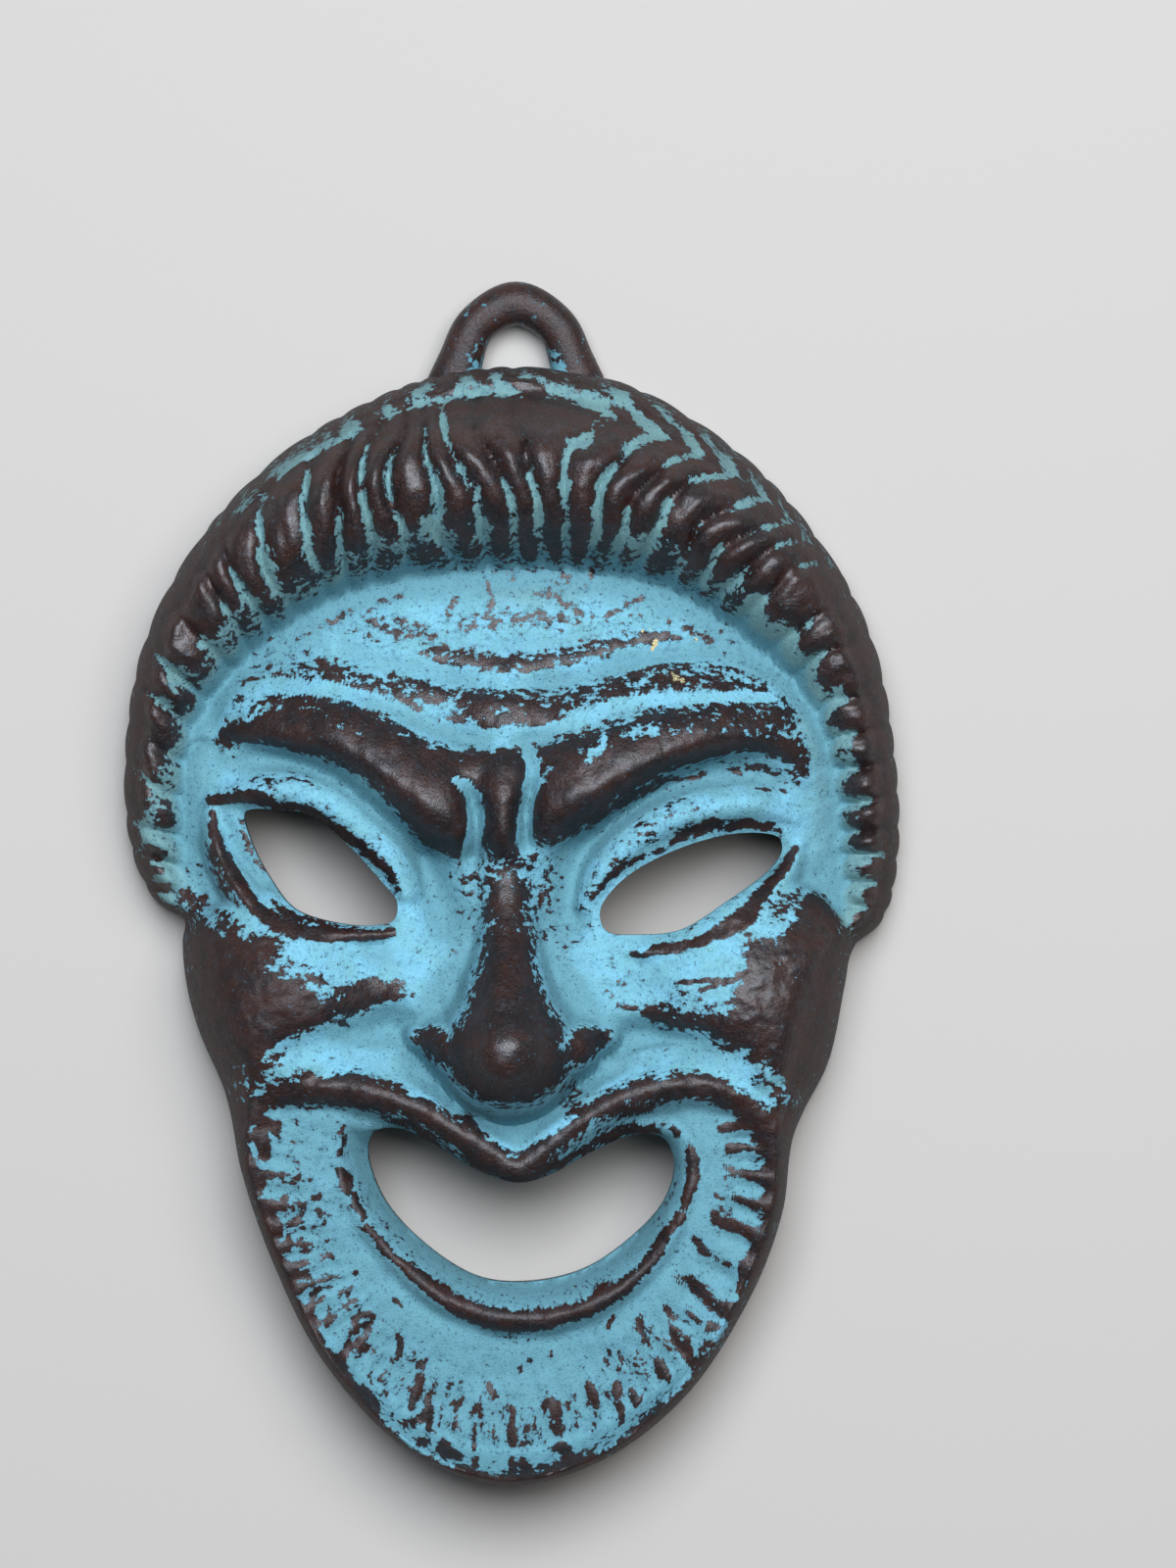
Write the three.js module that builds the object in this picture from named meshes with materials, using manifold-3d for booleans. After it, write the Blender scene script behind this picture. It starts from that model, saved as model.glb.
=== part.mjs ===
// A cast bronze stage mask, made to hang on a wall from the ring on its top edge. It is one hollow casting,
// open at the back: cut-out eyes, a wide open mouth, heavy brows, a roll of hair round the face and a short
// fluted beard. Here it lies on its back rim.
// Units are millimetres. X runs to the viewer's right, Y up the face to the ring, Z out of the face. The
// origin is under the middle of the mask, on the plane of the rim.
import * as THREE from "three";
import { mergeVertices } from "three/addons/utils/BufferGeometryUtils.js";
import Module from "manifold-3d";

// Driving dimensions
const WALL = 3.0; // thickness of the cast shell
const HUB = [0, -5]; // the point that the casting's sides and locks of hair radiate from
const LOCKS = 37; // locks in the roll of hair, from one end of it to the other
const LOCK_DEPTH = 1.25; // how deep the lines between the locks are cut
const RIM_NOTCH = 0.3; // how far those lines notch the outline
const FLUTES = 66; // flutes of the beard in a whole turn round the mouth
const FLUTE_DEPTH = 0.55;
const MOUTH_HUB = [1.8, -33.5]; // the flutes radiate from here
const CROWN_LEVEL = 16.5; // height of the flat hair behind the roll
const BEARD_LEVEL = 12.2; // height of the beard's dished surface at the chin
const MOUTH_EDGE_LEVEL = 10.6; // the lips slope in to this height round the hole
const CUT_LENGTH = 60; // length of the tools that cut the eyes and the mouth

// The rim's outer edge, anticlockwise from where the hair ends on the right: x, y, and how far in from the
// edge the side of the mask rounds over.
const OUTLINE = [
  [35.1, -7.0, 3.0],
  [38.3, -3.8, 3.4],
  [39.8, 2.5, 4.0],
  [39.5, 13.0, 4.0],
  [37.1, 25.2, 4.2],
  [32.8, 36.1, 4.0],
  [25.3, 44.7, 3.4],
  [15.0, 50.1, 2.8],
  [0.5, 52.1, 2.4],
  [-13.2, 49.9, 2.8],
  [-24.0, 43.9, 3.4],
  [-32.6, 34.8, 4.0],
  [-38.0, 24.5, 4.2],
  [-40.0, 12.0, 4.0],
  [-39.2, 3.0, 3.8],
  [-36.9, -1.8, 3.4],
  [-33.8, -3.9, 3.0],
  [-33.5, -6.5, 6.0],
  [-31.8, -14.5, 8.0],
  [-28.3, -23.2, 3.5],
  [-27.8, -29.6, 2.0],
  [-24.5, -39.2, 2.0],
  [-19.5, -49.0, 2.0],
  [-11.0, -57.9, 2.0],
  [-1.0, -61.8, 2.0],
  [8.8, -59.5, 2.0],
  [17.8, -52.8, 2.0],
  [24.6, -42.5, 2.2],
  [28.1, -34.0, 2.5],
  [29.6, -26.0, 3.6],
  [32.4, -18.5, 7.0],
  [34.2, -10.5, 7.0],
];
const HAIR_END = 16; // the row of OUTLINE where the hair ends on the left

// Ridges: x, y, crest height, half width on the left of the line, half width on the right.
const HAIR_ROLL = [
  [35.6, -4.5, 10.0, 4.0, 3.0],
  [37.1, 5.0, 12.8, 5.2, 3.8],
  [35.9, 15.0, 15.3, 5.8, 4.4],
  [32.4, 24.5, 18.5, 6.6, 4.4],
  [26.4, 31.8, 22.0, 7.2, 4.4],
  [18.6, 36.8, 24.5, 7.6, 5.2],
  [9.6, 39.6, 25.9, 8.6, 6.8],
  [-0.4, 40.4, 26.4, 9.0, 7.7],
  [-11.2, 39.0, 25.8, 8.4, 7.4],
  [-21.2, 35.4, 23.8, 7.4, 6.4],
  [-29.6, 29.5, 20.6, 7.0, 5.8],
  [-34.9, 22.0, 17.0, 6.4, 5.2],
  [-37.2, 14.0, 14.4, 5.8, 4.2],
  [-37.2, 5.0, 12.2, 5.4, 3.6],
  [-35.4, -1.2, 9.8, 4.0, 3.0],
];
const BROWS = [
  [
    [-32.0, 12.4, 9.6, 3.5, 2.0],
    [-29.2, 14.9, 14.4, 5.0, 2.2],
    [-22.6, 15.6, 18.6, 6.0, 2.8],
    [-16.2, 13.9, 21.3, 6.5, 3.2],
    [-11.2, 10.9, 22.8, 7.0, 3.4],
    [-7.4, 7.6, 23.4, 6.5, 3.2],
    [-5.7, 5.5, 22.6, 4.5, 2.8],
  ],
  [
    [4.1, 5.2, 22.2, 4.5, 2.6],
    [7.6, 7.5, 23.3, 6.5, 3.0],
    [12.8, 10.7, 22.9, 7.0, 3.2],
    [18.8, 13.0, 21.4, 6.5, 3.0],
    [24.6, 13.4, 18.8, 6.0, 2.6],
    [29.4, 11.6, 14.4, 5.0, 2.2],
    [32.2, 8.4, 9.6, 3.5, 2.0],
  ],
];
const FROWN = [
  [-1.0, 12.0, 21.6, 3.0, 3.0],
  [-0.9, 4.6, 21.6, 2.2, 2.2],
];
const NOSE_BRIDGE = [
  [-0.4, 3.0, 18.4, 3.0, 3.0],
  [0.6, -3.0, 20.6, 3.1, 3.1],
  [0.5, -8.0, 24.4, 3.6, 3.6],
  [0.0, -12.4, 28.6, 4.6, 4.6],
  [-0.2, -15.0, 31.0, 5.2, 5.2],
];
const NOSE_FLANKS = [
  [0.4, -3.0, 16.6, 7.0, 7.0],
  [0.2, -9.0, 19.6, 8.5, 8.5],
  [0.0, -13.5, 22.4, 9.5, 9.5],
];
const NOSTRIL_WINGS = [
  [
    [-8.2, -15.6, 20.8, 2.3, 2.3],
    [-4.6, -16.4, 24.8, 3.0, 3.0],
  ],
  [
    [4.2, -16.6, 24.8, 3.0, 3.0],
    [8.6, -15.9, 20.8, 2.3, 2.3],
  ],
];
const CHEEK_FOLDS = [
  [
    [-27.0, -12.6, 20.4, 5.0, 3.0],
    [-22.0, -13.2, 21.0, 4.8, 2.6],
    [-17.0, -12.6, 20.6, 4.2, 2.2],
    [-12.6, -11.2, 19.6, 3.4, 1.8],
    [-9.6, -10.2, 17.8, 2.6, 1.5],
  ],
  [
    [10.4, -12.0, 17.8, 2.6, 1.5],
    [13.6, -12.8, 19.6, 3.4, 1.8],
    [18.0, -13.6, 20.6, 4.2, 2.2],
    [23.0, -14.4, 21.0, 4.8, 2.6],
    [28.0, -14.2, 20.4, 5.0, 3.0],
  ],
];
const LIDS = [
  [
    [-29.9, 5.6, 12.2, 0.9, 0.9],
    [-29.2, 2.0, 14.2, 1.5, 1.3],
    [-27.0, -1.8, 16.4, 1.7, 1.5],
    [-23.4, -4.5, 18.0, 1.8, 1.5],
    [-18.8, -5.6, 18.8, 1.8, 1.5],
    [-14.4, -5.5, 18.6, 1.6, 1.3],
    [-11.0, -4.4, 17.2, 1.0, 1.0],
  ],
  [
    [-29.9, 6.8, 12.4, 0.9, 0.9],
    [-26.6, 8.5, 15.2, 1.2, 1.4],
    [-22.8, 8.4, 17.0, 1.3, 1.6],
    [-18.8, 6.8, 18.0, 1.4, 1.8],
    [-15.0, 3.6, 18.4, 1.4, 1.8],
    [-12.2, 0.2, 18.0, 1.2, 1.6],
    [-10.4, -2.6, 16.6, 1.0, 1.0],
  ],
  [
    [8.6, -5.6, 16.2, 1.0, 1.0],
    [11.4, -6.3, 17.4, 1.4, 1.2],
    [15.8, -6.3, 18.5, 1.8, 1.5],
    [20.8, -4.9, 18.7, 1.8, 1.5],
    [24.9, -2.4, 17.4, 1.7, 1.5],
    [27.9, 0.6, 15.4, 1.5, 1.3],
    [29.9, 4.2, 12.4, 0.9, 0.9],
  ],
  [
    [8.0, -3.4, 16.2, 1.0, 1.0],
    [9.6, -0.4, 17.6, 1.2, 1.6],
    [12.2, 2.6, 18.2, 1.4, 1.8],
    [16.8, 5.2, 18.4, 1.4, 1.8],
    [22.0, 6.3, 17.4, 1.3, 1.6],
    [27.0, 6.1, 14.8, 1.2, 1.4],
    [30.0, 5.0, 12.2, 0.9, 0.9],
  ],
];
// The moustache's edge and the raised edge of the beard are one line round the mouth and chin.
const BEARD_EDGE = [
  [0.8, -28.9, 20.4, 1.8, 1.8],
  [-3.4, -26.2, 20.6, 1.9, 1.9],
  [-8.4, -22.8, 20.6, 2.0, 2.0],
  [-14.2, -20.2, 20.4, 2.0, 2.0],
  [-20.8, -19.9, 19.4, 2.0, 2.0],
  [-25.2, -22.0, 17.8, 1.8, 1.8],
  [-26.5, -27.0, 16.4, 1.5, 1.5],
  [-25.0, -34.0, 15.4, 1.4, 1.4],
  [-21.6, -42.4, 14.6, 1.4, 1.4],
  [-15.0, -52.2, 13.6, 1.4, 1.4],
  [-8.0, -58.4, 13.2, 1.4, 1.4],
  [-0.4, -60.4, 13.0, 1.4, 1.4],
  [7.4, -58.8, 13.2, 1.4, 1.4],
  [15.0, -53.2, 13.6, 1.4, 1.4],
  [20.8, -45.6, 14.6, 1.6, 1.6],
  [25.0, -38.0, 15.6, 1.8, 1.8],
  [26.9, -31.0, 16.8, 2.0, 2.0],
  [26.4, -25.2, 18.0, 2.0, 2.0],
  [23.2, -21.6, 19.2, 2.0, 2.0],
  [17.4, -20.2, 20.2, 2.0, 2.0],
  [10.8, -21.8, 20.6, 2.0, 2.0],
  [5.8, -24.9, 20.6, 1.9, 1.9],
  [0.8, -28.9, 20.4, 1.8, 1.8],
];
const LIP_RING = [
  [-16.6, -24.4, 15.0, 0.9, 0.9],
  [-17.4, -27.6, 15.8, 1.2, 1.1],
  [-16.2, -32.0, 16.2, 1.4, 1.2],
  [-12.2, -37.4, 16.2, 1.5, 1.3],
  [-6.2, -42.3, 16.0, 1.6, 1.3],
  [0.8, -44.4, 16.0, 1.6, 1.3],
  [7.4, -42.9, 16.0, 1.6, 1.3],
  [13.0, -39.0, 16.2, 1.5, 1.3],
  [17.0, -33.6, 16.4, 1.4, 1.2],
  [18.4, -28.2, 16.6, 1.3, 1.1],
  [16.8, -25.0, 16.8, 1.1, 1.0],
  [12.6, -24.4, 17.4, 1.0, 1.0],
  [7.4, -27.0, 18.0, 1.0, 1.0],
];

// Cheekbones: x, y, height, half width, half height.
const CHEEKBONES = [
  [-26.4, -9.6, 21.6, 10.5, 12.5],
  [27.6, -10.6, 21.6, 10.5, 12.5],
];

// Grooves: x, y, depth, half width.
const GROOVES = [
  [
    [-17.2, 26.0, 0.2, 0.9],
    [-8.2, 24.5, 0.5, 0.9],
    [-0.2, 23.9, 0.5, 0.9],
    [8.0, 24.9, 0.5, 0.9],
    [15.8, 26.8, 0.2, 0.9],
  ],
  [
    [-17.0, 23.8, 0.3, 1.0],
    [-6.2, 20.7, 0.9, 1.0],
    [0.3, 19.9, 0.9, 1.0],
    [6.8, 20.8, 0.9, 1.0],
    [14.0, 22.9, 0.9, 1.0],
    [21.0, 23.4, 0.3, 1.0],
  ],
  [
    [-24.0, 20.2, 0.3, 1.1],
    [-14.6, 18.4, 1.0, 1.1],
    [-7.7, 15.5, 1.1, 1.1],
    [-1.0, 14.0, 1.1, 1.1],
    [5.6, 15.0, 1.1, 1.1],
    [13.0, 17.5, 1.0, 1.1],
    [26.0, 18.8, 0.3, 1.1],
  ],
  [
    [-4.6, 10.2, 1.2, 0.9],
    [-3.4, 6.6, 2.2, 0.9],
    [-3.7, 2.4, 1.6, 0.9],
  ],
  [
    [2.9, 10.6, 1.2, 0.9],
    [1.7, 7.2, 2.2, 0.9],
    [1.6, 2.6, 1.6, 0.9],
  ],
  [
    [-30.4, 10.2, 0.6, 2.0],
    [-24.0, 11.4, 2.4, 2.2],
    [-17.6, 9.6, 3.0, 2.2],
    [-12.2, 5.6, 3.2, 2.2],
    [-8.6, 1.2, 3.2, 2.4],
    [-6.8, -3.6, 2.4, 2.6],
  ],
  [
    [6.4, -3.4, 2.4, 2.4],
    [7.2, 1.4, 3.0, 2.2],
    [11.8, 5.6, 3.2, 2.2],
    [17.8, 8.7, 3.0, 2.2],
    [24.4, 9.6, 2.4, 2.2],
    [30.2, 8.0, 0.6, 2.0],
  ],
  [
    [-22.0, -16.6, 1.4, 1.8],
    [-15.6, -15.2, 2.0, 1.9],
    [-11.0, -14.8, 2.2, 1.8],
    [-8.4, -18.4, 2.2, 1.6],
    [-4.6, -21.8, 2.2, 1.6],
    [-0.2, -23.2, 2.2, 1.6],
    [4.4, -21.8, 2.2, 1.6],
    [8.8, -18.6, 2.2, 1.6],
    [12.0, -15.6, 2.2, 1.8],
    [16.6, -15.8, 2.0, 1.9],
    [22.6, -17.6, 1.4, 1.8],
  ],
];

// The holes, anticlockwise or clockwise: x, y.
const LEFT_EYE = [
  [-27.0, 7.2],
  [-23.6, 7.4],
  [-19.8, 6.7],
  [-16.2, 3.6],
  [-13.0, 0.1],
  [-11.5, -1.9],
  [-11.8, -3.7],
  [-14.0, -4.3],
  [-18.6, -3.8],
  [-22.0, -2.5],
  [-24.4, 0.4],
  [-26.4, 4.2],
];
const RIGHT_EYE = [
  [27.2, 4.6],
  [23.6, 5.1],
  [18.6, 4.1],
  [13.2, 1.7],
  [10.4, -0.5],
  [9.0, -2.8],
  [9.6, -4.8],
  [13.2, -5.2],
  [17.2, -4.7],
  [21.8, -1.9],
  [26.2, 1.3],
  [27.5, 3.2],
];
const MOUTH = [
  [-14.6, -27.4],
  [-13.9, -25.2],
  [-11.6, -24.7],
  [-8.0, -26.2],
  [-3.1, -29.0],
  [0.8, -30.1],
  [4.2, -29.3],
  [8.6, -26.9],
  [12.6, -25.4],
  [15.4, -25.8],
  [16.6, -28.4],
  [15.6, -32.3],
  [12.4, -36.0],
  [7.4, -39.4],
  [1.8, -40.7],
  [-3.4, -40.2],
  [-8.9, -36.8],
  [-13.0, -32.2],
];

// The hanging ring: a rounded arch that stands out of the top edge.
const RING_BASE = 48.5; // where its legs start, inside the shell
const RING_TOP = 61.7;
const RING_HALF_WIDTH = 8.4; // across its legs, where they leave the edge
const RING_TOP_RADIUS = 6.6;
const RING_EYE_HALF_WIDTH = 3.1;
const RING_EYE_BOTTOM = 51.2;
const RING_EYE_TOP = 57.2;
const RING_ROUND = 1.6; // radius of its rounded edges
const RING_BACK = 0.4; // the ring's back stays clear of the wall
const RING_DEPTH = 5.0;
const RING_MIDDLE = 0.4; // it stands a little to the right of the middle

// Mathematics of the modelled surface

const clamp01 = (v) => Math.min(1, Math.max(0, v));
const easeIn = (low, high, v) => {
  const s = clamp01((v - low) / (high - low));
  return s * s * (3 - 2 * s);
};
// The higher of two surfaces, with a fillet of that size where they cross.
const blendUp = (a, b, fillet) => {
  const near = Math.max(fillet - Math.abs(a - b), 0) / fillet;
  return Math.max(a, b) + (near * near * fillet) / 4;
};

// A smooth line through rows of numbers, x and y first: a centripetal Catmull-Rom curve, sampled.
function smoothLine(rows, closed = false, step = 1.2) {
  const count = rows.length;
  const row = (i) => rows[closed ? (i + count) % count : Math.min(Math.max(i, 0), count - 1)];
  const gap = (a, b) => Math.max(Math.sqrt(Math.hypot(a[0] - b[0], a[1] - b[1])), 1e-4);
  const line = [];
  for (let i = 0; i < (closed ? count : count - 1); i++) {
    const [a, b, c, d] = [row(i - 1), row(i), row(i + 1), row(i + 2)];
    const length = Math.hypot(c[0] - b[0], c[1] - b[1]);
    const steps = Math.max(2, Math.ceil(length / step));
    const bc = gap(b, c);
    const ab = a === b ? bc : gap(a, b);
    const cd = c === d ? bc : gap(c, d);
    for (let k = 0; k < steps; k++) {
      const t = k / steps;
      line.push(
        b.map((_, j) => {
          const leave = ((b[j] - a[j]) / ab - (c[j] - a[j]) / (ab + bc) + (c[j] - b[j]) / bc) * bc;
          const arrive = ((c[j] - b[j]) / bc - (d[j] - b[j]) / (bc + cd) + (d[j] - c[j]) / cd) * bc;
          const cube = 2 * b[j] - 2 * c[j] + leave + arrive;
          const square = -3 * b[j] + 3 * c[j] - 2 * leave - arrive;
          return ((cube * t + square) * t + leave) * t + b[j];
        }),
      );
    }
  }
  if (!closed) line.push([...rows[count - 1]]);
  return line;
}

// The point of a sampled line nearest to x, y: how far away it is, on which side (left is positive) and the
// line's other numbers there.
function nearest(line, x, y) {
  let best = { squared: Infinity };
  for (let i = 0; i + 1 < line.length; i++) {
    const [p, q] = [line[i], line[i + 1]];
    const dx = q[0] - p[0];
    const dy = q[1] - p[1];
    const t = clamp01(((x - p[0]) * dx + (y - p[1]) * dy) / (dx * dx + dy * dy));
    const ex = x - p[0] - t * dx;
    const ey = y - p[1] - t * dy;
    const squared = ex * ex + ey * ey;
    if (squared < best.squared) best = { squared, t, i, left: dx * ey - dy * ex > 0 };
  }
  const [p, q] = [line[best.i], line[best.i + 1]];
  return {
    distance: Math.sqrt(best.squared),
    left: best.left,
    values: p.map((v, j) => v + (q[j] - v) * best.t).slice(2),
  };
}

// A ridge falls by `drop` half widths at its half width, and ever faster beyond it.
function ridgeHeight(line, x, y, drop, power) {
  const { distance, left, values } = nearest(line, x, y);
  const half = values[left ? 1 : 2];
  return values[0] - drop * half * Math.pow(distance / half, power);
}

function grooveDepth(line, x, y) {
  const { distance, values } = nearest(line, x, y);
  return values[0] * Math.exp(-Math.pow(distance / values[1], 2));
}

// Whether x, y lies inside a closed line, as +1 or -1, times its distance from it.
function insideBy(line, x, y) {
  let inside = false;
  for (let i = 0, j = line.length - 1; i < line.length; j = i++) {
    const [p, q] = [line[i], line[j]];
    if (p[1] > y !== q[1] > y && x < ((q[0] - p[0]) * (y - p[1])) / (q[1] - p[1]) + p[0]) inside = !inside;
  }
  return (inside ? 1 : -1) * nearest(line, x, y).distance;
}

// Sampled lines
const outline = smoothLine(OUTLINE, true, 0.8);
const hairRoll = smoothLine(HAIR_ROLL);
const brows = BROWS.map((rows) => smoothLine(rows));
const frown = smoothLine(FROWN);
const noseBridge = smoothLine(NOSE_BRIDGE);
const noseFlanks = smoothLine(NOSE_FLANKS);
const wings = NOSTRIL_WINGS.map((rows) => smoothLine(rows));
const folds = CHEEK_FOLDS.map((rows) => smoothLine(rows));
const lids = LIDS.map((rows) => smoothLine(rows));
const beardEdge = smoothLine(BEARD_EDGE);
const lipRing = smoothLine(LIP_RING);
const lipLoop = [...lipRing, lipRing[0]];
const grooves = GROOVES.map((rows) => smoothLine(rows));

// The outline as seen from the hub: angle, distance, roundover and share of the way along the hair.
const turn = 2 * Math.PI;
const angleFromHub = (x, y) => Math.atan2(y - HUB[1], x - HUB[0]);
const startAngle = angleFromHub(outline[0][0], outline[0][1]);
const fromStart = (angle) => (((angle - startAngle) % turn) + turn) % turn;
const rimTable = outline.map(([x, y, roundover]) => ({
  angle: fromStart(angleFromHub(x, y)),
  reach: Math.hypot(x - HUB[0], y - HUB[1]),
  roundover,
}));
rimTable[0].angle = 0;
rimTable.push({ ...rimTable[0], angle: turn });
const hairAngle = fromStart(angleFromHub(OUTLINE[HAIR_END][0], OUTLINE[HAIR_END][1]));

// The rim seen from the hub in the direction of x, y.
function rimToward(x, y) {
  const angle = fromStart(angleFromHub(x, y));
  let low = 0;
  let high = rimTable.length - 1;
  while (high - low > 1) {
    const middle = (low + high) >> 1;
    if (rimTable[middle].angle <= angle) low = middle;
    else high = middle;
  }
  const [a, b] = [rimTable[low], rimTable[high]];
  const share = clamp01((angle - a.angle) / (b.angle - a.angle));
  const notch = angle < hairAngle ? RIM_NOTCH * cutBetween(lockPhase(angle)) : 0;
  return {
    angle,
    reach: a.reach + (b.reach - a.reach) * share - notch,
    roundover: a.roundover + (b.roundover - a.roundover) * share,
  };
}

// The cuts between repeated locks or flutes: 0 on the crest of each, 1 at the bottom of the cut.
const cutBetween = (phase) => 1 - Math.pow(Math.abs(Math.sin(Math.PI * phase)), 0.8);
// The locks are counted from the start of the hair, and are not quite even.
const lockPhase = (angle) =>
  (angle / hairAngle) * LOCKS + 0.12 * Math.sin(angle * 23) + 0.09 * Math.sin(angle * 41);

// Heights of the parts of the face

const middleLine = smoothLine([
  [-34, 17.4],
  [-24, 18.6],
  [-14, 18.4],
  [-4, 17.6],
  [4, 17.8],
  [12, 19.2],
  [20, 17.2],
  [27, 14.8],
  [34, 12.6],
]);
// Height of the face's middle at y.
function middleHeight(y) {
  let i = 0;
  while (i + 2 < middleLine.length && middleLine[i + 1][0] < y) i++;
  const [p, q] = [middleLine[i], middleLine[i + 1]];
  return p[1] + (q[1] - p[1]) * clamp01((y - p[0]) / (q[0] - p[0]));
}

function faceHeight(x, y) {
  let z = middleHeight(y) - 8.2 * Math.pow(Math.abs(x - 0.5) / 33, 2.6);
  for (const [cx, cy, top, halfWidth, halfHeight] of CHEEKBONES) {
    const away = Math.hypot((x - cx) / halfWidth, (y - cy) / halfHeight);
    z = blendUp(z, top - 6.5 * Math.pow(away, 2.4), 3);
  }
  for (const fold of folds) z = blendUp(z, ridgeHeight(fold, x, y, 0.8, 2), 2.0);
  z = blendUp(z, ridgeHeight(noseFlanks, x, y, 0.9, 2), 2.5);
  for (const brow of brows) z = blendUp(z, ridgeHeight(brow, x, y, 1.0, 2.4), 1.2);
  z = blendUp(z, ridgeHeight(frown, x, y, 0.7, 2), 1.2);
  for (const line of grooves) z -= grooveDepth(line, x, y);
  for (const lid of lids) z = blendUp(z, ridgeHeight(lid, x, y, 1.1, 2), 0.7);
  for (const wing of wings) z = blendUp(z, ridgeHeight(wing, x, y, 1.1, 2.4), 1.0);
  return blendUp(z, ridgeHeight(noseBridge, x, y, 1.0, 2.5), 1.4);
}

function hairHeight(x, y, rim) {
  const { distance, left, values } = nearest(hairRoll, x, y);
  const half = values[left ? 1 : 2];
  let z = values[0] - (left ? 1.25 : 1.0) * half * Math.pow(distance / half, left ? 2.6 : 2.2);
  const crown = CROWN_LEVEL - 0.7 * Math.max(0, 32 - y) - (left ? 2 * distance : 0);
  const onRoll = 1 - easeIn(0.75, 1.15, distance / half);
  z = blendUp(z, crown, 1.0);
  if (rim.angle > hairAngle) return z;
  const depth = LOCK_DEPTH * (left ? onRoll : 0.45 + 0.55 * onRoll);
  return z - depth * cutBetween(lockPhase(rim.angle));
}

function beardHeight(x, y) {
  const fromLips = -insideBy(lipLoop, x, y);
  let z = BEARD_LEVEL + 0.055 * (y + 60) + 1.6 * Math.pow(Math.abs(x) / 27, 2);
  if (fromLips < 0) return Math.max(z + 1.6 * fromLips, MOUTH_EDGE_LEVEL);
  const fluteAngle = Math.atan2(y - MOUTH_HUB[1], x - MOUTH_HUB[0]);
  const phase = (fluteAngle / turn) * FLUTES + 0.2 * Math.sin(fluteAngle * 9);
  return z - FLUTE_DEPTH * easeIn(1.5, 5, fromLips) * cutBetween(phase);
}

// Height of the mask's front above the plane of the rim.
function frontHeight(x, y) {
  const rim = rimToward(x, y);
  const edge = Math.max(0, rim.reach - Math.hypot(x - HUB[0], y - HUB[1]));
  const inBeard = insideBy(beardEdge, x, y);
  let z = blendUp(faceHeight(x, y), hairHeight(x, y, rim), 1.2);
  if (inBeard > -4) {
    z = blendUp(z - 2.2 * Math.max(0, inBeard), beardHeight(x, y), 0.8);
    z = blendUp(z, ridgeHeight(lipRing, x, y, 1.1, 2), 0.8);
    z = blendUp(z, ridgeHeight(beardEdge, x, y, 0.9, 2), 0.8);
  }
  const side = Math.min(1, edge / rim.roundover);
  return Math.max(0, z) * Math.sqrt(Math.max(0, 1 - (1 - side) ** 2));
}

// Mesh building

const SPOKES_PER_LOCK = 2;
const OTHER_SPOKES = 30; // spokes round the cheeks and beard, where no hair reaches the edge
// Rings of the web as shares of the way to the rounded side, each with how many spokes make one step of it.
const FRONT_RINGS = [
  [0.08, 4],
  [0.18, 4],
  [0.28, 4],
  [0.37, 2],
  [0.46, 2],
  [0.55, 2],
  [0.63, 2],
  [0.7, 1],
  [0.77, 1],
  [0.84, 1],
  [0.92, 1],
  [1, 1],
];
const SIDE_RINGS = 3; // rings on the rounded side
const FRONT_TOLERANCE = 0.75; // how far a facet's edge may stray from the modelled surface
const SHORTEST_EDGE = 0.9;
const PASSES = 3; // rounds of splitting

const pointToward = (angle, distance) => [
  HUB[0] + distance * Math.cos(angle + startAngle),
  HUB[1] + distance * Math.sin(angle + startAngle),
];

// Spokes meet the rim on the crests of the locks and in the cuts between them.
function spokeAngles() {
  const hairSpokes = LOCKS * SPOKES_PER_LOCK;
  const angles = [];
  for (let i = 0; i < hairSpokes; i++) angles.push((hairAngle * i) / hairSpokes);
  for (let i = 0; i < OTHER_SPOKES; i++) angles.push(hairAngle + ((turn - hairAngle) * i) / OTHER_SPOKES);
  return angles;
}

// A web of triangles in plan, from the hub to its last ring. A ring is a function of the rim's reach and
// roundover, and the number of spokes to each of its steps, which may halve from one ring to the next.
function web(angles, rings) {
  const points = [[HUB[0], HUB[1]]];
  const triangles = [];
  let last = null;
  for (const [place, stride] of rings) {
    const ring = [];
    for (let i = 0; i < angles.length; i += stride) {
      const toward = pointToward(angles[i], 1);
      ring.push(points.push(pointToward(angles[i], place(rimToward(toward[0], toward[1])))) - 1);
    }
    const at = (list, i) => list[i % list.length];
    for (let i = 0; i < (last || ring).length; i++) {
      if (!last) {
        triangles.push([0, ring[i], at(ring, i + 1)]);
      } else if (ring.length === last.length) {
        triangles.push([last[i], ring[i], at(ring, i + 1)], [last[i], at(ring, i + 1), at(last, i + 1)]);
      } else {
        const [a, b, c] = [ring[2 * i], ring[2 * i + 1], at(ring, 2 * i + 2)];
        triangles.push([last[i], a, b], [last[i], b, at(last, i + 1)], [at(last, i + 1), b, c]);
      }
    }
    last = ring;
  }
  return { points, triangles, border: last };
}

function frontRings() {
  const rings = FRONT_RINGS.map(([share, stride]) => [(rim) => (rim.reach - rim.roundover) * share, stride]);
  for (let k = 1; k <= SIDE_RINGS; k++) {
    const fromEdge = 1 - Math.sin(((k / SIDE_RINGS) * Math.PI) / 2);
    rings.push([(rim) => rim.reach - rim.roundover * fromEdge, 1]);
  }
  return rings;
}

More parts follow.
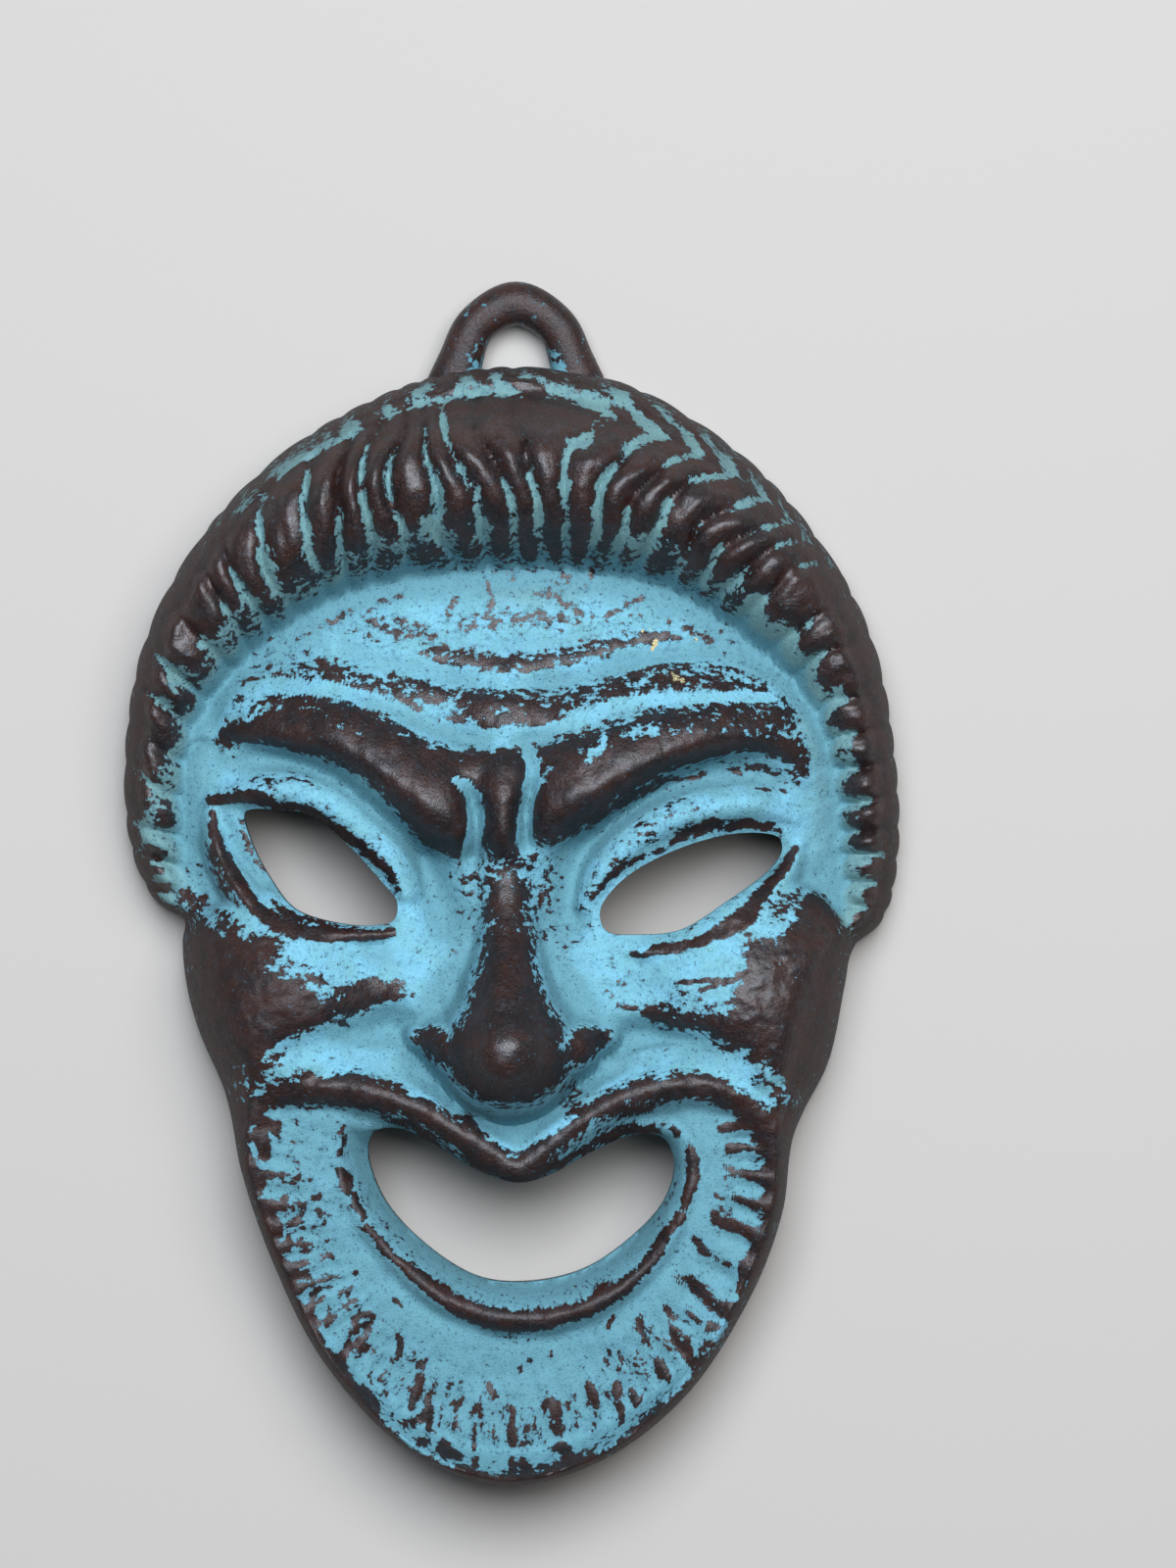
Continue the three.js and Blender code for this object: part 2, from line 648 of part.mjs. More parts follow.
// Splits the edges that stray from the surface, and with them the longest edge of each triangle they belong
// to, so that the triangles stay well shaped.
function refine(points, triangles, rimPoints, height) {
  const heights = points.map(([x, y]) => height(x, y));
  for (let pass = 0; pass < PASSES; pass++) {
    const name = (a, b) => (a < b ? a * 1e6 + b : b * 1e6 + a);
    const length = (a, b) =>
      Math.hypot(points[a][0] - points[b][0], points[a][1] - points[b][1], heights[a] - heights[b]);
    const sidesOf = ([a, b, c]) => [[a, b], [b, c], [c, a]];
    const edges = new Map();
    for (const triangle of triangles) for (const [p, q] of sidesOf(triangle)) edges.set(name(p, q), [p, q]);
    const split = new Set();
    for (const [key, [a, b]] of edges) {
      if (length(a, b) < 2 * SHORTEST_EDGE) continue;
      if (rimPoints.has(a) && rimPoints.has(b)) continue;
      const [x, y] = [(points[a][0] + points[b][0]) / 2, (points[a][1] + points[b][1]) / 2];
      if (Math.abs(height(x, y) - (heights[a] + heights[b]) / 2) > FRONT_TOLERANCE) split.add(key);
    }
    let grew = true;
    while (grew) {
      grew = false;
      for (const triangle of triangles) {
        const sides = sidesOf(triangle);
        if (!sides.some(([p, q]) => split.has(name(p, q)))) continue;
        const inside = sides.filter(([p, q]) => !(rimPoints.has(p) && rimPoints.has(q)));
        const longest = inside.sort((s, t) => length(t[0], t[1]) - length(s[0], s[1]))[0];
        if (!split.has(name(...longest))) {
          split.add(name(...longest));
          grew = true;
        }
      }
    }
    const middles = new Map();
    for (const key of split) {
      const [a, b] = edges.get(key);
      middles.set(key, points.length);
      const middle = [(points[a][0] + points[b][0]) / 2, (points[a][1] + points[b][1]) / 2];
      points.push(middle);
      heights.push(height(middle[0], middle[1]));
    }
    const middleOf = (a, b) => middles.get(name(a, b));
    triangles = triangles.flatMap((triangle) => splitTriangle(triangle, middleOf, length));
  }
  return { points, heights, triangles };
}

// The triangles that one becomes when some of its edges have middle points.
function splitTriangle(corners, middleOf, length) {
  const order = [0, 1, 2].map((i) => [corners[i], corners[(i + 1) % 3], corners[(i + 2) % 3]]);
  const marked = order.filter(([a, b]) => middleOf(a, b) !== undefined);
  if (marked.length === 0) return [corners];
  if (marked.length === 3) {
    const [a, b, c] = corners;
    const [ab, bc, ca] = [middleOf(a, b), middleOf(b, c), middleOf(c, a)];
    return [[a, ab, ca], [ab, b, bc], [ca, bc, c], [ab, bc, ca]];
  }
  if (marked.length === 1) {
    const [a, b, c] = marked[0];
    const m = middleOf(a, b);
    return [[a, m, c], [m, b, c]];
  }
  const [a, b, c] = order.find(([from, to]) => middleOf(from, to) === undefined);
  const [bc, ca] = [middleOf(b, c), middleOf(c, a)];
  return length(a, bc) < length(b, ca)
    ? [[a, b, bc], [a, bc, ca], [ca, bc, c]]
    : [[a, b, ca], [b, bc, ca], [ca, bc, c]];
}

const wasm = await Module();
wasm.setup();

function solidOf(geometry) {
  geometry.deleteAttribute("normal");
  geometry.deleteAttribute("uv");
  const merged = mergeVertices(geometry, 1e-4);
  return new wasm.Manifold(
    new wasm.Mesh({
      numProp: 3,
      vertProperties: merged.attributes.position.array,
      triVerts: new Uint32Array(merged.index.array),
    }),
  );
}

// A closed solid: the surface on top, walls under its border where that is above the floor, and a flat
// bottom fanned out from under the hub.
function solidUnder(points, heights, triangles, border, floor) {
  const positions = points.map(([x, y], i) => [x, y, heights[i]]);
  const onFloor = (i) => (heights[i] === floor ? i : positions.push([points[i][0], points[i][1], floor]) - 1);
  const below = border.map(onFloor);
  const middle = positions.push([HUB[0], HUB[1], floor]) - 1;
  const faces = triangles.map((t) => [...t]);
  border.forEach((a, i) => {
    const next = (i + 1) % border.length;
    faces.push([middle, below[next], below[i]]);
    if (below[i] !== a) faces.push([a, below[i], below[next]], [a, below[next], border[next]]);
  });
  return new wasm.Manifold(
    new wasm.Mesh({
      numProp: 3,
      vertProperties: new Float32Array(positions.flat()),
      triVerts: new Uint32Array(faces.flat()),
    }),
  );
}

// The casting before it is hollowed: the modelled front over a flat back.
function frontSolid() {
  const { points, triangles, border } = web(spokeAngles(), frontRings());
  const fine = refine(points, triangles, new Set(border), frontHeight);
  for (const i of border) fine.heights[i] = 0;
  return solidUnder(fine.points, fine.heights, fine.triangles, border, 0);
}

// The inside of the shell: everywhere one wall's thickness from the front.
const HOLLOW_SPOKES = 72;
const HOLLOW_RINGS = 12;
const BELOW = 3; // how far the hollow's tool reaches out of the back
function hollowHeight(x, y) {
  let lowest = Infinity;
  for (const share of [0, 0.5, 0.85, 1])
    for (let k = 0; k < (share ? 10 : 1); k++) {
      const reach = share * WALL;
      const [px, py] = [x + reach * Math.cos((k * turn) / 10), y + reach * Math.sin((k * turn) / 10)];
      const rim = rimToward(px, py);
      const out = Math.hypot(px - HUB[0], py - HUB[1]) - rim.reach;
      const top = out > 0 ? 0 : frontHeight(px, py);
      lowest = Math.min(lowest, top - Math.sqrt(Math.max(0, WALL * WALL - reach * reach)));
    }
  return Math.max(lowest, -BELOW + 0.5);
}
function hollowSolid() {
  const angles = Array.from({ length: HOLLOW_SPOKES }, (_, i) => (i * turn) / HOLLOW_SPOKES);
  const rings = Array.from({ length: HOLLOW_RINGS }, (_, k) => {
    const share = Math.sin((((k + 1) / HOLLOW_RINGS) * Math.PI) / 2);
    const even = (k + 1) / HOLLOW_RINGS;
    const stride = even > 0.4 ? 1 : even > 0.2 ? 2 : 4;
    return [(rim) => (rim.reach - 0.8 * WALL) * (0.45 * even + 0.55 * share), stride];
  });
  const { points, triangles, border } = web(angles, rings);
  const heights = points.map(([x, y]) => hollowHeight(x, y));
  return solidUnder(points, heights, triangles, border, -BELOW);
}

// A straight cut through the shell with that outline.
function holeTool(rows, step) {
  const shape = new THREE.Shape(smoothLine(rows, true, step).map(([x, y]) => new THREE.Vector2(x, y)));
  const tool = new THREE.ExtrudeGeometry(shape, { depth: CUT_LENGTH, bevelEnabled: false });
  return solidOf(tool.translate(0, 0, -BELOW));
}

// The ring is an arch with an arched eye, rounded all round.
function ringSolid() {
  const arch = (halfWidth, bottom, top, radius) => {
    const path = new THREE.Shape();
    path.moveTo(-halfWidth, bottom);
    path.lineTo(halfWidth, bottom);
    path.lineTo(radius, top - radius);
    path.absarc(0, top - radius, radius, 0, Math.PI, false);
    path.closePath();
    return path;
  };
  const topRadius = RING_TOP_RADIUS - RING_ROUND;
  const shape = arch(RING_HALF_WIDTH - RING_ROUND, RING_BASE, RING_TOP - RING_ROUND, topRadius);
  const eyeHalf = RING_EYE_HALF_WIDTH + RING_ROUND;
  shape.holes.push(arch(eyeHalf, RING_EYE_BOTTOM - RING_ROUND, RING_EYE_TOP + RING_ROUND, eyeHalf));
  const ring = new THREE.ExtrudeGeometry(shape, {
    depth: RING_DEPTH - 2 * RING_ROUND,
    bevelSize: RING_ROUND,
    bevelThickness: RING_ROUND,
    bevelSegments: 3,
    curveSegments: 10,
  });
  return solidOf(ring.translate(RING_MIDDLE, 0, RING_BACK + RING_ROUND));
}

const casting = frontSolid()
  .add(ringSolid())
  .subtract(hollowSolid())
  .subtract(holeTool(LEFT_EYE, 1.3))
  .subtract(holeTool(RIGHT_EYE, 1.3))
  .subtract(holeTool(MOUTH, 1.6));

function meshOf(solid, name, material) {
  const data = solid.getMesh();
  const geometry = new THREE.BufferGeometry();
  const positions = new Float32Array(data.numVert * 3);
  for (let i = 0; i < data.numVert; i++)
    positions.set(data.vertProperties.subarray(i * data.numProp, i * data.numProp + 3), i * 3);
  geometry.setAttribute("position", new THREE.BufferAttribute(positions, 3));
  geometry.setIndex(new THREE.BufferAttribute(data.triVerts, 1));
  geometry.computeVertexNormals();
  const mesh = new THREE.Mesh(geometry, material);
  mesh.name = name;
  return mesh;
}

// Blue-green verdigris paste over dark brown bronze, rubbed back on everything that stands proud.
const patinatedBronze = new THREE.MeshStandardMaterial({ color: 0x6f9fa0, roughness: 0.7, metalness: 0.25 });

const mask = new THREE.Group();
mask.add(meshOf(casting, "mask", patinatedBronze));

export default mask;
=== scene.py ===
"""A cast bronze stage mask with worn verdigris, lying on its back rim on a pale floor.

The front of the casting is worked up as a height over the plan, from named lines and ridges, and a fine
grid takes its shape. The grid is then closed, hollowed, pierced and given its hanging ring. Lengths in the
tables are millimetres and angles are degrees.
"""

import math

import bpy
import numpy as np
from bpy.props import FloatProperty, FloatVectorProperty, IntProperty, PointerProperty
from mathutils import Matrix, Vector


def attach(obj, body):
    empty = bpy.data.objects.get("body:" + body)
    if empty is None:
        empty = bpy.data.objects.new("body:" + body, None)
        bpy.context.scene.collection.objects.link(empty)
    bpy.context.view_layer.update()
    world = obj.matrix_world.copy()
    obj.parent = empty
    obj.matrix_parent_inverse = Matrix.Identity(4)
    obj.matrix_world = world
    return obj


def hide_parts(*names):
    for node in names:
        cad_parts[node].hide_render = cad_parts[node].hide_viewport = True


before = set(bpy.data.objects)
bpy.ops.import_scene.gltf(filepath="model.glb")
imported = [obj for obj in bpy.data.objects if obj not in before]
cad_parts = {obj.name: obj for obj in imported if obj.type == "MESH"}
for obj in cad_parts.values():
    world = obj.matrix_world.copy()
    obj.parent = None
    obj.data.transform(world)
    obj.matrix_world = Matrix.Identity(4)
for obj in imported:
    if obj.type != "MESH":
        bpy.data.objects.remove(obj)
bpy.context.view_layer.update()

bl_info = {
    "name": "Bronze stage mask",
    "version": (1, 0, 0),
    "blender": (4, 5, 0),
    "location": "3D View > Sidebar > Mask",
    "description": "Models a cast bronze stage mask with worn verdigris, and a plain studio to show it in",
    "category": "Object",
}

MM = 0.001

# The outline and the lines of the face. X runs to the viewer's right, Y up the face, Z out of it.
# Rim, anticlockwise from where the hair ends on the right: x, y, how far in the side rounds over.
HUB = (0.0, -5.0)
OUTLINE = [
    [35.1, -7, 4.2], [38.3, -3.8, 3.6], [39.8, 2.5, 4], [39.5, 13, 4], [37.1, 25.2, 4.2], [31.9, 34.9, 4],
    [24.5, 43.3, 3.4], [15, 49.8, 2.8], [8.6, 52.1, 2.6], [0.5, 53, 2.4], [-6.6, 52.3, 2.6],
    [-13.4, 50.1, 2.8], [-24, 43.9, 3.4], [-32.6, 34.8, 4], [-38, 24.5, 4.2], [-40, 12, 4],
    [-39.2, 3, 3.8], [-36.9, -1.8, 3.4], [-33.8, -3.9, 3], [-34, -6.2, 4.4], [-33.6, -10.4, 5.6],
    [-32.4, -15, 6], [-29.4, -22.2, 4], [-27.8, -29.6, 2], [-24.5, -39.2, 2], [-19.5, -49, 2],
    [-11, -57.9, 2], [-1, -61.8, 2], [8.8, -59.5, 2], [17.8, -52.8, 2], [24.6, -42.5, 2.2],
    [27.8, -34, 2.2], [29, -26, 2.8], [32.6, -18.5, 6], [34.3, -10.5, 5.4],
]

# Ridges: x, y, crest height, half width on the left of the line, half width on the right.
HAIR_ROLL = [
    [35.6, -4.5, 10, 4, 3], [37.1, 5, 12.8, 5.2, 3.8], [35.9, 15, 15.3, 5.8, 4.4],
    [32.4, 24.5, 18.5, 6.6, 4.4], [26.4, 31.8, 22, 7.2, 4.4], [18.8, 37.6, 24.5, 8.4, 4.8],
    [9.8, 40.8, 25.9, 9.8, 6], [-0.4, 41.7, 26.4, 10.2, 6.6], [-11.5, 40.2, 25.8, 9.6, 6.4],
    [-21.6, 36.2, 23.8, 8.3, 5.8], [-29.6, 29.5, 20.6, 7, 5.8], [-34.9, 22, 17, 6.4, 5.2],
    [-37.2, 14, 14.4, 5.8, 4.2], [-37.2, 5, 12.2, 5.4, 3.6], [-35.4, -1.2, 9.8, 4, 3],
]
BROWS = [
    [[-30, 15, 12.6, 2.6, 1.2], [-26.4, 15.8, 16.2, 4, 1.8], [-22.2, 15.1, 18.8, 6, 2.2],
     [-18.2, 14, 20.6, 7.5, 2.6], [-15.2, 12.5, 21.6, 8.5, 2.9], [-12.2, 10.5, 22.6, 9, 3.4],
     [-9.2, 8.6, 23.3, 9, 3.8], [-6.9, 7.2, 23.4, 8, 3.8], [-5, 6.2, 22.6, 6, 3.2]],
    [[3.6, 7, 22.6, 6, 3.2], [6.8, 9, 23.4, 8, 3.4], [9.8, 10.5, 23.3, 9, 3], [12.8, 12.1, 22.8, 9, 2.5],
     [15.8, 13.5, 22, 8.5, 2.2], [18.8, 14.5, 21.2, 7.5, 2], [21.8, 15.1, 20, 6, 1.8],
     [24.8, 15.2, 18.4, 4.5, 1.7], [27.3, 14.3, 16.6, 3.4, 1.6], [29, 12.8, 14.8, 2.6, 1.5],
     [29.9, 11, 13, 2, 1.3]],
]
FROWN = [[-0.7, 13, 20.8, 3.4, 3.4], [-0.7, 9, 22.6, 2.6, 2.6], [-0.7, 5.4, 22.4, 2.3, 2.3]]
BETWEEN_BROWS = [[-0.6, 15, 19.4, 7, 7], [-0.6, 10, 21.6, 8, 8], [-0.6, 6.4, 20.6, 6, 6]]
NOSE_BRIDGE = [
    [-0.6, 3, 18.6, 3.4, 3.4], [-0.3, -3, 20.6, 2.6, 2.6], [-0.2, -7, 23.6, 2.8, 2.8],
    [-0.3, -11, 27.2, 3.6, 3.6], [-0.2, -14.6, 29.4, 4.4, 4.4],
]
NOSE_FLANKS = [[0.4, -3, 16.6, 7, 7], [0.2, -9, 19.6, 8.5, 8.5], [0, -13.5, 22.4, 9.5, 9.5]]
NOSTRIL_WINGS = [
    [[-9.3, -15.5, 19.2, 1.2, 1.2], [-7.5, -15.9, 22.4, 2.2, 2], [-5.4, -16.6, 24.6, 2.7, 2.7],
     [-3.4, -17.2, 26, 3.2, 3.2]],
    [[3.4, -17.2, 26, 3, 3], [5.6, -16.7, 24.2, 2.4, 2.4], [7.8, -15.9, 22.4, 2, 1.9],
     [9.6, -15.5, 19.2, 1.1, 1.1]],
]
CHEEK_FOLDS = [
    [[-23, -11.8, 17.6, 5.5, 3.8], [-18, -11.5, 18.6, 4.4, 3], [-13.4, -10.9, 18.2, 3.4, 2.4],
     [-10, -10.4, 17, 2.4, 1.8]],
    [[11.2, -12.5, 17, 2.4, 1.8], [14.4, -13.2, 18.1, 3.4, 2.4], [18.4, -14, 18.6, 4.4, 3],
     [23.4, -14.6, 17.6, 5.5, 3.8]],
]
LIDS = [
    [[-30.5, 8, 12, 0.6, 0.6], [-30.2, 5.2, 13.4, 0.8, 0.8], [-29.3, 2.2, 14.8, 1, 0.9],
     [-27.8, -0.3, 16.2, 1.1, 1], [-25.7, -2.9, 17.3, 1.2, 1], [-23.1, -4.4, 18.1, 1.2, 1],
     [-20.1, -5.1, 18.6, 1.2, 1], [-17.2, -5.3, 18.7, 1.1, 1], [-14.6, -5.2, 18.3, 1, 0.9],
     [-11.6, -4.9, 17.2, 0.7, 0.7]],
    [[-30.3, 8.5, 12.4, 0.9, 0.9], [-26.2, 9.3, 15.9, 1.6, 1.6], [-22.2, 9.3, 17.6, 1.9, 1.9],
     [-18.4, 8, 18.4, 2, 2], [-15, 5.4, 18.7, 2, 2], [-12, 2.2, 18.5, 1.8, 1.8],
     [-10.6, -1, 17.6, 1.4, 1.4]],
    [[9.4, -6, 16.8, 0.7, 0.7], [12.3, -6.8, 17.9, 1.1, 0.9], [14.9, -7.1, 18.4, 1.2, 1],
     [17.9, -6.8, 18.7, 1.2, 1], [20.4, -5.9, 18.6, 1.2, 1], [22.6, -4.6, 18.2, 1.2, 1],
     [24.8, -2.7, 17.3, 1.1, 1], [26.6, -0.7, 16.2, 1, 0.9], [28.1, 1.4, 14.8, 0.8, 0.8],
     [29.3, 4, 12.6, 0.6, 0.6]],
    [[7.6, -2.2, 16.9, 1.2, 1.2], [9.4, 1.2, 18.2, 1.7, 1.7], [12.8, 4.6, 18.8, 2, 2],
     [16.8, 6.8, 18.7, 2, 2], [20.8, 7.8, 18.1, 1.9, 1.9], [24.8, 7.9, 16.6, 1.6, 1.6],
     [28.6, 6.6, 13.4, 0.9, 0.9]],
]
# The moustache's edge and the raised edge of the beard are one line round the mouth and chin.
BEARD_EDGE = [
    [0.8, -28.9, 20.4, 1.8, 1.8], [-3.4, -26.2, 20.6, 1.9, 1.9], [-8.4, -23.1, 20.6, 1.8, 1.8],
    [-14.2, -20.9, 20.4, 1.8, 1.8], [-20.8, -20.6, 19.4, 1.8, 1.8], [-25.2, -22.3, 17.8, 1.6, 1.6],
    [-26.5, -27, 16.4, 1.5, 1.5], [-25, -34, 15.4, 1.4, 1.4], [-21.6, -42.4, 14.6, 1.4, 1.4],
    [-15, -52.2, 13.6, 1.4, 1.4], [-8, -58.4, 13.2, 1.4, 1.4], [-0.4, -60.4, 13, 1.4, 1.4],
    [7.4, -58.8, 13.2, 1.4, 1.4], [15, -53.2, 13.6, 1.4, 1.4], [20.8, -45.6, 14.6, 1.6, 1.6],
    [25, -38, 15.6, 1.8, 1.8], [26.9, -31, 16.8, 2, 2], [26.4, -25.2, 18, 2, 2],
    [23.2, -21.6, 19.2, 2, 2], [17.4, -20.2, 20.2, 2, 2], [10.8, -21.8, 20.6, 2, 2],
    [5.8, -24.9, 20.6, 1.9, 1.9], [0.8, -28.9, 20.4, 1.8, 1.8],
]
LIP_RING = [
    [-16.6, -24.4, 15, 0.9, 0.9], [-17.4, -27.6, 15.8, 1.2, 1.1], [-16.2, -32, 16.2, 1.4, 1.2],
    [-12.2, -37.6, 16.2, 1.5, 1.3], [-6.2, -42.3, 16.2, 1.8, 1.5], [0.8, -44.2, 16.2, 1.9, 1.6],
    [7.4, -43, 16.2, 1.8, 1.5], [13, -39.6, 16.2, 1.5, 1.3], [17, -34.2, 16.4, 1.4, 1.2],
    [18.4, -28.2, 16.6, 1.3, 1.1], [16.8, -25, 16.8, 1.1, 1], [12.6, -24.4, 17.4, 1, 1],
    [7.4, -27, 18, 1, 1],
]
# Cheekbones: x, y, height, half width, half height.
CHEEKBONES = [[-22.8, -12.6, 21.6, 12.2, 13], [23.6, -11.6, 21.8, 12.4, 13.4]]
# The ball of the nose: x, y, height, half width.
NOSE_BALL = [
    -0.2, -16.7, 30.9, 5.2,
]
# Grooves: x, y, depth, half width.
GROOVES = [
    [[-17.2, 26, 0.2, 0.9], [-8.2, 24.5, 0.5, 0.9], [-0.2, 23.9, 0.5, 0.9], [8, 24.9, 0.5, 0.9],
     [15.8, 26.8, 0.2, 0.9]],
    [[-17, 23.8, 0.3, 1], [-6.2, 20.7, 0.9, 1], [0.3, 19.9, 0.9, 1], [6.8, 20.8, 0.9, 1],
     [14, 22.9, 0.9, 1], [21, 23.4, 0.3, 1]],
    [[-24, 20.2, 0.3, 1.1], [-14.6, 18.4, 1, 1.1], [-7.7, 15.5, 1.1, 1.1], [-1, 14, 1.1, 1.1],
     [5.6, 15, 1.1, 1.1], [13, 17.5, 1, 1.1], [26, 18.8, 0.3, 1.1]],
    [[-5.2, 10.6, 0.4, 0.7], [-4.1, 9, 1.8, 0.8], [-3.5, 6.6, 2.8, 0.9], [-3.8, 3, 2, 1]],
    [[1.9, 13.2, 0.4, 0.7], [2.2, 10.8, 1.2, 0.8], [1.7, 7.6, 2.6, 0.9], [1.4, 4.2, 2, 1]],
    [[-30.4, 11.6, 0.5, 1.4], [-24, 12.6, 2, 1.6], [-17.6, 11, 2.6, 1.8], [-12.6, 6.8, 3, 1.9],
     [-9, 2, 3, 2.1], [-6.8, -3.4, 2.2, 2.5]],
    [[6, -3.4, 2.2, 2.4], [6.8, 2, 2.8, 2.1], [11.4, 7, 3, 1.9], [17.8, 10.4, 2.6, 1.7],
     [24.4, 11.2, 2, 1.5], [29.6, 9.2, 0.5, 1.3]],
    [[-22, -16.6, 1.4, 1.8], [-15.6, -15.2, 2, 1.9], [-11, -14.8, 2.2, 1.8], [-8.4, -18.4, 2.2, 1.6],
     [-4.6, -21.8, 2.2, 1.6], [-0.2, -23.2, 2.2, 1.6], [4.4, -21.8, 2.2, 1.6], [8.8, -18.6, 2.2, 1.6],
     [12, -15.6, 2.2, 1.8], [16.6, -15.8, 2, 1.9], [22.6, -17.6, 1.4, 1.8]],
]
# The holes: x, y.
HOLES = [
    [[-27, 7.2], [-23.6, 7.4], [-19.8, 6.7], [-16.2, 3.6], [-13, 0.1], [-11.5, -1.9], [-11.8, -3.7],
     [-14, -4.3], [-18.6, -3.8], [-22, -2.5], [-24.4, 0.4], [-26.4, 4.2]],
    [[27.2, 4.6], [23.6, 5.1], [18.6, 4.1], [13.2, 1.7], [10.4, -0.5], [9, -2.8], [9.6, -4.8],
     [13.2, -5.2], [17.2, -4.7], [21.8, -1.9], [26.2, 1.3], [27.5, 3.2]],
    [[-14.6, -27.4], [-13.9, -25.2], [-11.6, -24.7], [-8, -26.2], [-3.1, -29], [0.8, -30.1],
     [4.2, -29.3], [8.6, -26.9], [12.6, -25.4], [15.4, -25.8], [16.6, -28.4], [15.6, -32.3], [12.4, -36],
     [7.4, -39.4], [1.8, -40.7], [-3.4, -40.2], [-8.9, -36.8], [-13, -32.2]],
]
# The hanging ring: its middle, its line (x, y, width of the bar), its depth, and how high it starts.
RING_MIDDLE = 0.4
RING_LINE = [
    [-7.6, 46.5, 6.6], [-6.5, 50.8, 5.6], [-5.7, 53.6, 4.6], [-4.1, 57.2, 4.2], [0, 59.45, 4.5],
    [4.1, 57.2, 4.2], [5.7, 53.6, 4.6], [6.5, 50.8, 5.6], [7.6, 46.5, 6.6],
]
RING_DEPTH = 5.0
RING_BACK = 0.4
# The line down the middle of the face: y, height.
MIDDLE = [
    [-34, 17.4], [-24, 18.6], [-14, 18.4], [-4, 17.6], [4, 17.8], [12, 19.2], [20, 17.2], [27, 15.5],
    [34, 14],
]

# The cuts between the locks, seen from the hub: angle, and how far out the verdigris fills the cut.
LOCK_CUTS = [
    [-4, 36], [1.4, 37], [5, 38], [9.6, 38.8], [14.3, 38], [19.3, 40.3], [24.3, 40.5], [28.9, 41.6],
    [33.9, 43.6], [40, 43.2], [46.4, 44.6], [52.5, 44], [57, 44.6], [60.4, 46], [64.3, 45], [70, 46.4],
    [74.3, 45.6], [78.4, 49], [83.2, 51.4], [87.3, 47.6], [91.4, 47.4], [95.7, 53], [99.6, 51],
    [104.6, 50.2], [109.3, 52.4], [112.9, 46], [116.8, 50.8], [122.7, 51.6], [127.5, 47.4], [131.1, 45.6],
    [135.4, 44.6], [141.8, 47.6], [146.8, 43.2], [151.3, 40.6], [156.1, 42.6], [162.3, 41.8],
    [166.6, 40.4], [171.1, 37.6], [175.6, 36.6], [180, 36],
]
# How deep the cuts between the locks are round the head: angle, share.
LOCK_DEPTH = [[0, 1.1], [40, 1.25], [55, 1.1], [75, 1], [105, 1.05], [118, 1.15], [135, 1.3], [178, 1.2]]
# How far from the hub the locks are rubbed brown, seen from the hub: angle, distance.
LOCK_ENDS = [
    [-6, 35.2], [0, 35.4], [5, 35.6], [10, 35.4], [15, 35.6], [20, 36.2], [25, 37.4], [31, 39],
    [38, 39.8], [47, 40.8], [56, 41], [62, 40.6], [68, 41.2], [74, 40], [78, 38.2], [82, 37], [88, 36.6],
    [93, 37], [97, 39], [103, 40.9], [110, 40.8], [118, 41.4], [123, 41.2], [128, 42], [132, 42],
    [137, 41.6], [142, 41.4], [147, 40.4], [152, 39.2], [160, 38.2], [166, 37.2], [171, 36.4],
    [175, 36.6], [178, 37.6], [182, 39],
]
# How the cuts between the locks lean as they run outwards: angle, degrees for each millimetre.
LOCK_LEAN = [
    [50, 0.22], [70, 0.2], [78, -0.1], [83, -0.3], [95, -0.3], [100, -0.1], [105, 0.1], [112, 0.3],
    [125, 0.22],
]
# How the strands behind the crease lean back the other way: angle, degrees for each millimetre.
STRAND_LEAN = [[50, 2.6], [58, 2], [72, 1.8], [80, 1.4], [88, 1.3], [97, 0]]
# The crease behind the roll of hair, seen from the hub: angle, distance. There is none at the sides.
CREASE = [
    [44, 60], [47, 49.4], [52, 49.9], [58, 50.6], [62, 51.2], [66, 51.5], [71, 52.2], [76, 52.5],
    [82, 53.6], [88, 54.2], [95, 54.2], [102, 53.6], [107, 52.6], [115, 51.8], [122, 50.3], [127, 51],
    [131, 60],
]
# The crests of the beard's flutes, seen from the middle of the mouth.
FLUTE_HUB = (1.8, -33.5)
FLUTE_CRESTS = [
    -196, -188.5, -182, -177.3, -172, -167, -162, -156.6, -152, -146.5, -141.5, -136.5, -131.4, -126.7,
    -122, -117.5, -113.4, -109.4, -103.5, -99, -94.8, -89, -82.7, -76.5, -70.4, -64.7, -60, -54.8, -49.6,
    -44.7, -39.8, -32.6, -24.4, -13, -3.4, 4.2, 11, 17.5, 23.5, 31, 38,
]
# How the flutes swing round as they run outwards: angle, degrees for each millimetre.
FLUTE_SWING = [[-165, 0], [-130, -0.7], [-95, -0.7], [-70, 0], [-45, 0.2], [-25, 0.6], [0, 1], [30, 0.9]]
# How deep the flutes are round the beard: angle, share.
FLUTE_DEPTH = [
    [-196, 0.9], [-150, 0.9], [-130, 0.6], [-60, 0.6], [-40, 1], [-25, 1.7], [20, 1.8], [40, 0.8],
]

